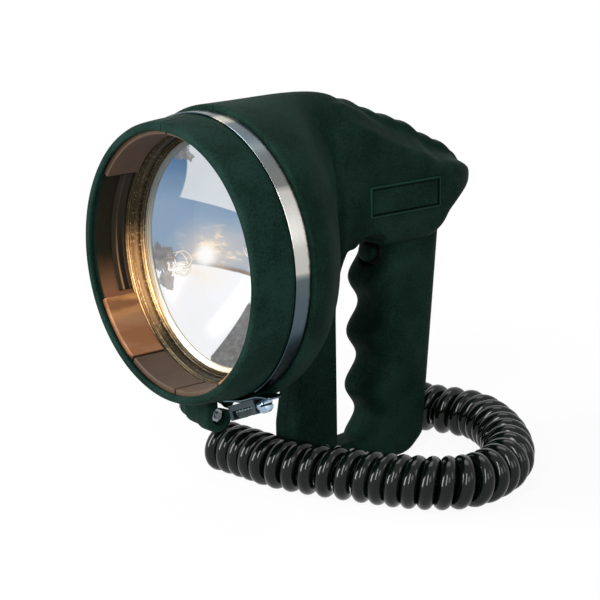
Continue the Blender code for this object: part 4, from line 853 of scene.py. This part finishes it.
def bossShapes():
    # stepped clamping boss, the cord's outlet and the web that carries the boss
    radius, edge, corner = boss["radius"], boss["nearX"], boss["round"]
    outline = [(0.0, edge), (radius - corner, edge), (radius, edge - corner)]
    for size, share in boss["steps"]:
        edge -= (boss["nearX"] - boss["farX"]) * share
        outline += [(radius * size, edge + corner), (radius * size - corner, edge)]
    outline.append((0.0, boss["farX"]))
    return [turnedShape(outline, 48, bossCentre, (1, 0, 0)),
            turnedShape(stepped(0.0, (outlet["bossRadius"], outlet["bossLength"])), 48, exitRoot, exitWay),
            boxShape(spot(boss["farX"] * 0.7, boss["depth"] - radius * 0.8, boss["height"] + radius * 0.3),
                     spot(boss["nearX"] - corner * 2, grooveRear + 0.0015, 0.002 - head["shroud"]))]


def remesh(piece):
    step = piece.modifiers.new("skin", "REMESH")
    step.mode, step.voxel_size = "VOXEL", skin["voxel"]


def bodyCutters():
    shroud, seatDepth, nearX = head["shroud"], head["seatDepth"], boss["nearX"]
    cavity, recessEnd, wide = button["cavityFront"], nearX - boss["recessDepth"], head["rear"] * 1.05
    room = stepped(-overrun, (head["bore"], head["seatFront"]), (head["seat"], seatDepth),
                   (head["opening"], seatDepth + overrun))
    cutters = [
        turned("roomCutter", room[:-1] + head["room"], None, 128),
        turned("buttonCutter", stepped(
            button["front"] - overrun, (button["collar"] + gap, gripFront(button["height"]) + button["collarThick"]),
            (button["radius"] + gap, cavity), (button["flange"] + gap, cavity + button["cavityDepth"])),
            None, 48, spot(0, 0, button["height"])),
        turned("boltCutter", stepped(boss["farX"] - overrun, (boss["bolt"] + gap, recessEnd),
                                     (boss["recess"], nearX + overrun)), None, 40, bossCentre, (1, 0, 0))]
    for name, (depth, height, share) in screwHoles.items():
        hole = stepped(-head["rear"], (screwHole["radius"] + gap, screwHole["bottom"] * share))
        cutters.append(turned("screwCutter_" + name, hole, None, 32, spot(0, depth, height), (1, 0, 0)))
    groove = [(shroud, grooveFront), (wide, grooveFront), (wide, grooveRear), (shroud, grooveRear)]
    return cutters + [turned("grooveCutter", groove, None, 192)]


def makeBody():
    verts, faces = [], []
    shapes = [loftShape(rings) for rings in (bodyRings(), gripRings(), columnRings(), baseRings())] + bossShapes()
    for points, sides in shapes:
        start = len(verts)
        verts += points
        faces += [[k + start for k in side] for side in sides]
    # the overlapping shapes become one skin, which is softened before the sharp cuts are made
    blank = addPiece("bodyBlank", verts, faces)
    remesh(blank)
    baked(blank)
    tunnel = lofted("tunnelCutter", [[spot(x, depth, height) for depth, height in arch] for x in (-0.06, 0.06)])
    baked(carve(blank, tunnel))
    remesh(blank)
    flow = blank.modifiers.new("flow", "SMOOTH")
    flow.factor, flow.iterations = skin["strength"], skin["smooth"]
    baked(blank)
    cutters = bodyCutters()
    for tool in cutters:
        carve(blank, tool)
    baked(blank)
    for name, sign in (("right", 1), ("left", -1)):  # each half ends at the ground and at the CAD's own top
        near, far = sign * head["seam"] / 2, sign * (head["rear"] + overrun)
        half = addPiece(name + "_body_skin", *boxShape(
            spot(min(near, far), -overrun, ground),
            spot(max(near, far), place["depth"], cadBox[1][2] - place["axisHeight"])))
        baked(carve(half, blank, "INTERSECT"))
        dress(half, housingRubber, name + "_housing", "housing_rubber")
    for tool in cutters + [blank, tunnel]:
        bpy.data.objects.remove(tool, do_unlink=True)


makeBody()

# shroud in front of the band, with its rounded lip: radius and depth
shroudProfile = [
    (0.0626, 0.0002), (0.0632, 0.0), (0.0648, 0.0), (0.0655, 0.0003), (0.0661, 0.0009), (0.0665, 0.0018),
    (0.0668, 0.004), (0.0672, 0.008), (0.0676, 0.013), (0.068, 0.0185), (0.0681, grooveFront - 0.0004),
    (head["shroud"], grooveFront), (head["shroud"], grooveRear + 0.0012), (head["bore"], grooveRear + 0.0012),
    (head["bore"], 0.0029), (head["lipInner"], 0.0018), (head["lipInner"], 0.0006)]
seamDeg = degrees(head["seam"] / 2 / head["shroud"])
for name, middle in (("right", 0), ("left", 180)):
    sweepArc(name + "_shroud_skin", shroudProfile, middle - 90 + seamDeg, middle + 90 - seamDeg, 120,
             (shroudRubber, name + "_housing", "housing_rubber"), bevel=0.00025)

# blank plate on the near side of the hood, with a thin raised rim
plate = dict(depth=0.1315, height=0.0178, length=0.048, width=0.0155, rise=0.001, rim=0.0009, sink=0.0007,
    root=0.0012, bevel=0.0002, corner=0.0009)


def makePlate():
    depth, height, halfLong, halfTall = plate["depth"], plate["height"], plate["length"] / 2, plate["width"] / 2
    plateRubber = rubberLook("plateRubber", (0.0034, 0.0112, 0.0076), (0.0086, 0.024, 0.0184), framed=[
        ("Y", depth - place["depth"] / 2, halfLong), ("Z", height + place["axisHeight"], halfTall)])
    half, rise, bevel, rings = hood["halfWidth"], plate["rise"], plate["bevel"], []
    for inset, x in ((0.0, -plate["root"]), (0.0, rise * 0.7), (bevel, rise), (plate["rim"], rise),
                     (plate["rim"] + bevel, rise - plate["sink"])):
        rings.append([spot(half + x, *point) for point in cornerPoints(
            (depth - halfLong + inset, height - halfTall + inset),
            (depth + halfLong - inset, height + halfTall - inset), plate["corner"], 4)])
    lofted("blank_plate", rings, (plateRubber, "right_housing", "housing_rubber"))


makePlate()

# pads and clips round the inside of the shroud, angles from +X over the top
pads = dict(thick=0.0032, front=0.0031, rear=0.0217, edges=[90.0, 35.0, -24.5, -57.5, -90.0], gapDeg=1.1,
    clipThick=0.0007, clipFront=0.014, clipMargin=2.0)


def padLook():
    look = Look("padBrown", specular=0.2)
    height, cloud = look.height(), look.noise(60.0, 5.0, 0.65)
    smear = look.noise(120.0, 4.0, 0.6, look.at((1.0, 0.25, 1.0)))
    # painted light: the pads warm and lit below their upper part, with a painted golden gleam near the axis's height
    # that fades downwards, and darker again at the very bottom
    warm = look.fade(height + cloud * 0.01, 0.036, -0.01)
    dark = look.mix(cloud, (0.04, 0.028, 0.019), (0.105, 0.062, 0.038))
    goldGleam = look.fade(height - smear * 0.012, -0.048, -0.026)
    lit = look.mix(look.fade(smear, 0.35, 0.65), (0.22, 0.09, 0.036),
                   look.mix(goldGleam, (0.26, 0.13, 0.068), (0.86, 0.4, 0.115)))
    lowest = look.mix(smear, (0.04, 0.026, 0.018), (0.095, 0.058, 0.038))
    lit = look.mix(look.fade(height, -0.0503, -0.0512), lit, lowest)
    return look.finished(look.mix(warm, dark, lit), 0.42 + cloud * 0.16,
                         look.noise(1300.0, 2.0) + smear, 0.25, 0.00015)


def clipLook():
    look = Look("clipBronze", metallic=0.4, specular=0.2)
    streak = look.noise(90.0, 4.0, 0.6, look.at((1.0, 6.0, 0.35)))
    depth = look.axis("Y") + place["depth"] / 2 + (streak - 0.5) * 0.0014
    # painted light: bright painted glints in bands at set depths across the clip, and its upper part in painted
    # shade
    across = look.ramp((depth - pads["clipFront"]) / (pads["rear"] - pads["clipFront"]), [
        (0.0, (0.03, 0.024, 0.013)), (0.3, (0.055, 0.036, 0.018)), (0.37, (0.5, 0.26, 0.12)),
        (0.43, (0.3, 0.15, 0.07)), (0.47, (0.012, 0.011, 0.007)), (0.78, (0.01, 0.01, 0.007)),
        (0.86, (0.12, 0.065, 0.03)), (1.0, (0.05, 0.032, 0.018))])
    deep = look.fade(look.height() + streak * 0.014, 0.024, -0.014, 0.1, 1.0)
    return look.finished(look.mix(deep, (0.016, 0.016, 0.01), across), 0.26 + streak * 0.2, streak, 0.25, 0.0004)


def shroudLiner(name, side, thick, front, first, last, steps, finish, **rest):
    outer = head["bore"] - gap
    if side == "left":
        first, last = 180 - first, 180 - last
    profile = [(outer, front), (outer, pads["rear"]), (outer - thick, pads["rear"]), (outer - thick, front)]
    sweepArc(name, profile, first, last, steps, finish, **rest)


padBrown, clipBronze = padLook(), clipLook()
thick, front, edges, gapDeg = pick(pads, "thick front edges gapDeg")
for side in ("right", "left"):
    for k, where in {0: "upper", 2: "lower", 3: "bottom"}.items():
        name = "pad_%s_%s" % (where, side)
        shroudLiner(name + "_block", side, thick, front, edges[k] - gapDeg / 2, edges[k + 1] + gapDeg / 2, 28,
                    (padBrown, name, "pad_rubber"), bevel=0.0005, segments=3)
    shroudLiner("clip_plate_" + side, side, pads["clipThick"], pads["clipFront"], edges[1] - pads["clipMargin"],
                edges[2] + pads["clipMargin"], 40, (clipBronze, "ring_clip_" + side, "bronze_finish"), bevel=0.0002)

# lamp unit: ring, lens, bowl and bulb
unit = dict(ringOuter=0.0634, ringInner=0.0546, ringFront=0.022, ringThick=0.0012, lens=0.058, lensThick=0.0026,
    bulge=0.003, bowlThick=0.001, apex=0.066, mouth=0.0545, neck=0.0112, gasket=0.0008, bulb=0.0055, bulbWall=0.82,
    bulbLength=0.021, holderWall=0.0012, faceSteps=12, bowlSteps=24, domeSteps=8)


def makeUnit():
    outer, inner, front, thick = pick(unit, "ringOuter ringInner ringFront ringThick")
    glass, wall, neck, mouth, bulb = pick(unit, "lensThick bowlThick neck mouth bulb")
    faceSteps, bowlSteps, domeSteps = pick(unit, "faceSteps bowlSteps domeSteps")
    lip = head["seatDepth"] - unit["gasket"] - wall - glass - thick - 4 * gap
    fromInner = ((0.8, -0.3), (2, -1), (2.6, -1.1))  # steps of the ring's face, in thicknesses
    fromOuter = ((4.1, -2), (3.6, -2.1))
    wallSteps = ((3, 2), (2, 1.7), (1, 1), (1, 0))
    turned("ring_bezel", [(outer, front), (outer, lip + thick), (inner, lip + thick), (inner, lip)]
           + [(inner + thick * across, lip + thick * back) for across, back in fromInner]
           + [(outer - thick * across, lip + thick * back) for across, back in fromOuter]
           + [(outer - thick * across, front + thick * back) for across, back in wallSteps],
           (bronze, "retaining_ring", "bronze_finish"), 192, bevel=0.0002)
    rim, face = lip + thick + gap, []
    for k in range(faceSteps + 1):
        face.append(((inner - gap * 2) * k / faceSteps, rim - unit["bulge"] * (1 - (k / faceSteps) ** 2)))
    turned("lens_dome", face + [(unit["lens"], rim), (unit["lens"], rim + glass)]
           + [(radius, depth + glass) for radius, depth in face[::-1]],
           (lensGlass, "lens_glass", "lens_glass"), 160)
    rim += glass + gap
    radii = [neck + (mouth - neck) * k / bowlSteps for k in range(bowlSteps + 1)]
    inside = [(radius, rim + (unit["apex"] - rim) * (1 - (radius / mouth) ** 2)) for radius in radii]
    neckDepth = inside[0][1]
    turned("reflector_bowl", inside[::-1] + [
        (neck, neckDepth + wall * 3), (neck + wall, neckDepth + wall * 3), (neck + wall, neckDepth + wall * 0.8)]
        + [(radius, depth + wall) for radius, depth in inside[1:-1]]
        + [(mouth + wall, rim + wall), (unit["lens"], rim + wall), (unit["lens"], rim)],
        (silver, "reflector", "reflector_silver"), 160)
    rear = neckDepth + wall * 3 + gap + unit["holderWall"]
    start = rear - unit["bulbLength"]
    turns = [pi / 2 / domeSteps * k for k in range(domeSteps + 1)]
    dome, domeIn = ([(bulb * size * sin(turn), start + bulb * (1 - size * cos(turn))) for turn in turns]
                    for size in (1.0, unit["bulbWall"]))
    turned("bulb_envelope", dome + [(bulb, rear), (bulb * unit["bulbWall"], rear)] + domeIn[::-1],
           (bulbGlass, "bulb_glass", "bulb_glass"), 48)


makeUnit()
print("lamp unit made")

# button with its collar, and the spring that gives under it
spring = dict(radius=0.0036, wire=0.0008, turns=4, turnSteps=24, travel=0.003)


def wireRings(points, radius, sides=10):
    rings, side = [], None
    for k, point in enumerate(points):
        heading = (points[min(k + 1, len(points) - 1)] - points[max(k - 1, 0)]).normalized()
        side = (side - heading * side.dot(heading)).normalized() if side else heading.orthogonal().normalized()
        up = heading.cross(side)
        rings.append([roundPoint(point, side, up, 2 * pi * j / sides, radius) for j in range(sides)])
    return rings


def makeButton():
    radius, front, height, thick = pick(button, "radius front height flangeThick")
    centre, rear = spot(0, 0, height), button["cavityFront"] + gap
    crown = ((0.0, 0.0), (0.55, 0.0001), (0.8, 0.0004), (0.95, 0.0009), (1.0, 0.0018))
    turned("button_cap", [(radius * share, front + drop) for share, drop in crown]
           + [(radius, rear), (button["flange"], rear), (button["flange"], rear + thick), (0.0, rear + thick)],
           (buttonPlastic, "trigger_button", "black_plastic"), 48, centre, body="trigger", bevel=0.0002)
    collar, deep = button["collar"], button["collarThick"]
    seat = gripFront(height) + deep - gap
    turned("button_seal", [
        (radius + gap, seat - deep), (collar - gap, seat - deep), (collar, seat - deep * 0.6), (collar, seat),
        (radius + gap, seat)], (sealRubber, "button_collar", "seal_rubber"), 48, centre, bevel=0.0003)
    start = rear + gap + thick
    end = button["cavityFront"] + spring["travel"] + 2 * thick + 7 * gap
    wire, steps, coil = spring["wire"], spring["turnSteps"], []
    for k in range(spring["turns"] * steps + 1):
        turn, share = 2 * pi * k / steps, k / (spring["turns"] * steps)
        coil.append(spot(spring["radius"] * cos(turn), start + wire / 2 + (end - start - wire) * share,
                         height + spring["radius"] * sin(turn)))
    piece = lofted("button_spring", wireRings(coil, wire / 2), (zincSteel, "trigger_spring", "zinc_steel"))
    tuple(spot(0, end, height))
    round((end - start - spring["travel"]) / (end - start), 3)
    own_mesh(piece)


makeButton()

# band clamp
clamp = dict(angle=-68.0, overlap=11.0, steps=200, tail=0.0225, tailSpring=0.003, tailLift=0.0011,
    tailShares=(-0.06, 0.12, 0.3, 0.48, 0.56, 0.64, 0.71, 0.78, 0.83, 0.88, 0.92, 0.95, 0.98, 1.0),
    tailEnd={0: 0.55, 1: 0.76, 2: 0.9}, springStart=0.42, saddleHalf=0.0102, saddleWall=0.0008, worm=0.003,
    root=0.0023, pitch=0.0024, neck=0.0019, key=0.0036, keyLength=0.0046, slotWidth=0.001, slotDepth=0.0013,
    slotShadow=(0.0006, 0.00048), slotFrom=(0.0136, 0.0138), cuts=130, around=40)
clampTurn = radians(clamp["angle"])
outward = Vector((cos(clampTurn), 0, sin(clampTurn)))
alongside = Vector((-sin(clampTurn), 0, cos(clampTurn)))
bandMiddle = head["bandFront"] + head["bandWidth"] / 2
bandThick = head["bandThickness"]
bandInner = head["shroud"] + gap
tailDistance = bandInner + bandThick / 2 + clamp["tailLift"]
wormDistance = tailDistance + bandThick / 2 + 2 * gap + clamp["saddleWall"] + clamp["worm"]
wormCentre = spot(0, bandMiddle, 0) + outward * wormDistance


def makeBand():
    line, overlap = [], radians(clamp["overlap"])
    first, last = clampTurn + overlap, clampTurn + 2 * pi - overlap * 0.8
    for k in range(clamp["steps"] + 1):
        turn = first + (last - first) * k / clamp["steps"]
        line.append(Vector((cos(turn), 0, sin(turn))) * (bandInner + bandThick / 2))
    for share in clamp["tailShares"]:
        bent = max(0.0, share - clamp["springStart"]) / (1 - clamp["springStart"])
        lift = clamp["tailSpring"] * bent ** 2 if share > 0 else -clamp["tailLift"] * 0.35
        line.append(alongside * (clamp["tail"] * share) + outward * (tailDistance + lift))
    rings = []
    for k, here in enumerate(line):
        heading = (line[min(k + 1, len(line) - 1)] - line[max(k - 1, 0)]).normalized()
        out = Vector((heading.z, 0, -heading.x)) * bandThick / 2
        half = head["bandWidth"] / 2 * clamp["tailEnd"].get(len(line) - 1 - k, 1.0)
        rings.append([spot(0, bandMiddle, 0) + here + out * s + Vector((0, half * t, 0))
                      for s, t in ((1, 1), (-1, 1), (-1, -1), (1, -1))])
    lofted("band_strip", rings, (bandSteel, "clamp_band", "band_steel"), bevel=0.00018, segments=3)


def screwLook():
    # zinc head with painted shade in its slot, and the thread in painted shade inside the saddle
    look = Look("screwSteel", metallic=1.0)
    wear = look.noise(520.0, 3.0, 0.6)
    along, out = (look.vector("DOT_PRODUCT", look.here(), tuple(way)) - wormCentre.dot(way)
                  for way in (alongside, outward))
    keyed = look.fade(along, clamp["saddleHalf"] - 0.0001, clamp["saddleHalf"] + 0.0003)
    rim, inside = clamp["slotShadow"]
    slot = look.fade(out * out, rim ** 2, inside ** 2) * look.fade(along, *clamp["slotFrom"])
    metal = look.mix(keyed, look.mix(wear, (0.02, 0.03, 0.03), (0.075, 0.095, 0.1)),
                     look.mix(wear, (0.22, 0.32, 0.42), (0.42, 0.52, 0.62)))
    return look.finished(look.mix(slot, metal, (0.012, 0.014, 0.016)), 0.16 + wear * 0.18, wear, 0.15, 0.0001)


def makeWorm():
    # thread, neck and slotted head as one skin whose radius winds round the axis
    around, cuts, pitch, root = pick(clamp, "around cuts pitch root")
    key, keyStart = clamp["key"], clamp["saddleHalf"] + gap
    keyEnd = keyStart + clamp["keyLength"]
    end = clamp["saddleHalf"] - 2 * clamp["saddleWall"] - gap
    side = Vector((0, 1, 0))
    up = alongside.cross(side)

    def threadRadius(x, turn):
        phase = (x / pitch + turn / (2 * pi)) % 1.0
        crest = unitShare((0.5 - abs(phase - 0.5)) * 4 - 0.55)
        return root + (clamp["worm"] - root) * crest * unitShare((end - abs(x)) / pitch * 1.5)

    turns = [2 * pi * j / around for j in range(around)]
    rings = []
    for k in range(cuts + 1):
        x = -end + 2 * end * k / cuts
        rings.append([roundPoint(wormCentre + alongside * x, side, up, turn, threadRadius(x, turn))
                      for turn in turns])
    for radius, x in ((clamp["neck"], end), (clamp["neck"], keyStart), (key - 0.0003, keyStart),
                      (key, keyStart + 0.0003), (key, keyEnd - 0.0009), (key - 0.0002, keyEnd - 0.0004),
                      (key - 0.0007, keyEnd - 0.0001), (key * 0.5, keyEnd)):
        rings.append([roundPoint(wormCentre + alongside * x, side, up, turn, radius) for turn in turns])
    worm = lofted("worm_screw", rings)
    pose = Matrix.Translation(wormCentre) @ Matrix((alongside, side, outward)).transposed().to_4x4()
    low = Vector((keyEnd - clamp["slotDepth"], -key * 1.5, -clamp["slotWidth"] / 2))
    high = Vector((keyEnd + overrun, key * 1.5, clamp["slotWidth"] / 2))
    slotBlock = addPiece("slotCutter", *boxShape(low, high, pose))
    baked(carve(worm, slotBlock, solver="EXACT"))
    bpy.data.objects.remove(slotBlock, do_unlink=True)
    dress(worm, screwLook(), "clamp_screw", "zinc_steel", "clamp_worm", sharp=40.0)


makeBand()
makeWorm()
print("band clamp made")

# CAD pieces that keep their own shape: a look, and how far their edges are softened
finishes = {"housing_screw_" + name: (zincSteel, 0.0002) for name in screwHoles}
finishes.update({
    "boss_bolt": (boltSteel, 0.0003), "boss_nut": (zincSteel, 0.0003), "bulb_base": (zincSteel, 0.0),
    "bulb_clip": (zincSteel, 0.0), "bulb_filament": (tungsten, 0.0), "bulb_holder": (zincSteel, 0.0),
    "clamp_saddle": (shadedSaddleSteel, 0.0002), "lead_negative": (blackWire, 0.0), "lead_positive": (redWire, 0.0),
    "seat_gasket": (sealRubber, 0.0), "switch_body": (greyPlastic, 0.0004),
    "terminal_negative": (contactBrass, 0.0001), "terminal_positive": (contactBrass, 0.0001)})
for name, (look, edge) in finishes.items():
    nodes[name].data.materials.clear()
    nodes[name].data.materials.append(look)
    if edge:
        soften(nodes[name], edge)
print("CAD pieces finished:", len(finishes))

# stage and light
stage = dict(floorSize=3.0, floorDrop=0.00005, floorColour=(0.74, 0.74, 0.74), whiten=0.93, whiteFrom=0.14,
    whiteTo=0.42, worldLevel=0.06, aim=(0.01, 0.0, 0.1))
lamps = {  # place (m), size (m), power (W)
    "overhead": ((-0.2, 0.25, 1.25), (0.8, 0.6), 5.0),
    "windowLeft": ((-0.56, -1.16, 0.66), (0.42, 1.3), 30.0),
    "windowRight": ((0.63, -1.05, 0.77), (0.2, 1.1), 15.0),
    "rightRear": ((1.0, 0.45, 0.6), (0.35, 0.5), 1.6),
    "sideFill": ((1.05, -0.4, 0.62), (0.45, 0.45), 3.0)}


def seenRays(look):  # rays that should find a white backdrop: the camera's, mirrored and through glass
    camera, glossy, through = (look.node("LightPath", out=name)
                               for name in ("Is Camera Ray", "Is Glossy Ray", "Is Transmission Ray"))
    return camera.maths("MAXIMUM", glossy).maths("MAXIMUM", through)


def makeStage():
    # paper that takes the shadow near the lamp and goes white away from it
    half = stage["floorSize"] / 2
    floor = addPiece("studio_floor", [(-half, -half, 0), (half, -half, 0), (half, half, 0), (-half, half, 0)],
                     [[0, 1, 2, 3]])
    floor.hide_render = False
    floor.location.z = -stage["floorDrop"]
    look = Look("palePaper", colour=stage["floorColour"], roughness=0.9, specular=0.0)
    away = look.fade(look.vector("LENGTH", look.here()), stage["whiteFrom"], stage["whiteTo"], stage["whiten"])
    lit = look.node("MixShader", None, {0: seenRays(look) * away, 1: Wire(look, look.shader.outputs[0]),
                                        2: look.node("Emission")})
    look.fill(look.tree.nodes["Material Output"].inputs["Surface"], lit)
    floor.data.materials.append(look.material)
    bpy.context.scene.world = bpy.data.worlds.new("studio")
    sky = Look("studio", bpy.context.scene.world, Color=(1, 1, 1))
    level = {"Value": seenRays(sky), "To Min": stage["worldLevel"], "To Max": 1.0}
    sky.feed("Strength", sky.node("MapRange", None, level))
    for name, (at, size, power) in lamps.items():
        light = bpy.data.lights.new(name, "AREA")
        light.shape, light.energy = "RECTANGLE", power
        light.size, light.size_y = size
        holder = bpy.data.objects.new(name, light)
        holder.location = at
        holder.rotation_euler = (Vector(stage["aim"]) - Vector(at)).to_track_quat("-Z", "Y").to_euler()
        bpy.context.scene.collection.objects.link(holder)


makeStage()
bpy.context.scene.view_settings.view_transform = "Standard"
print("stage made")
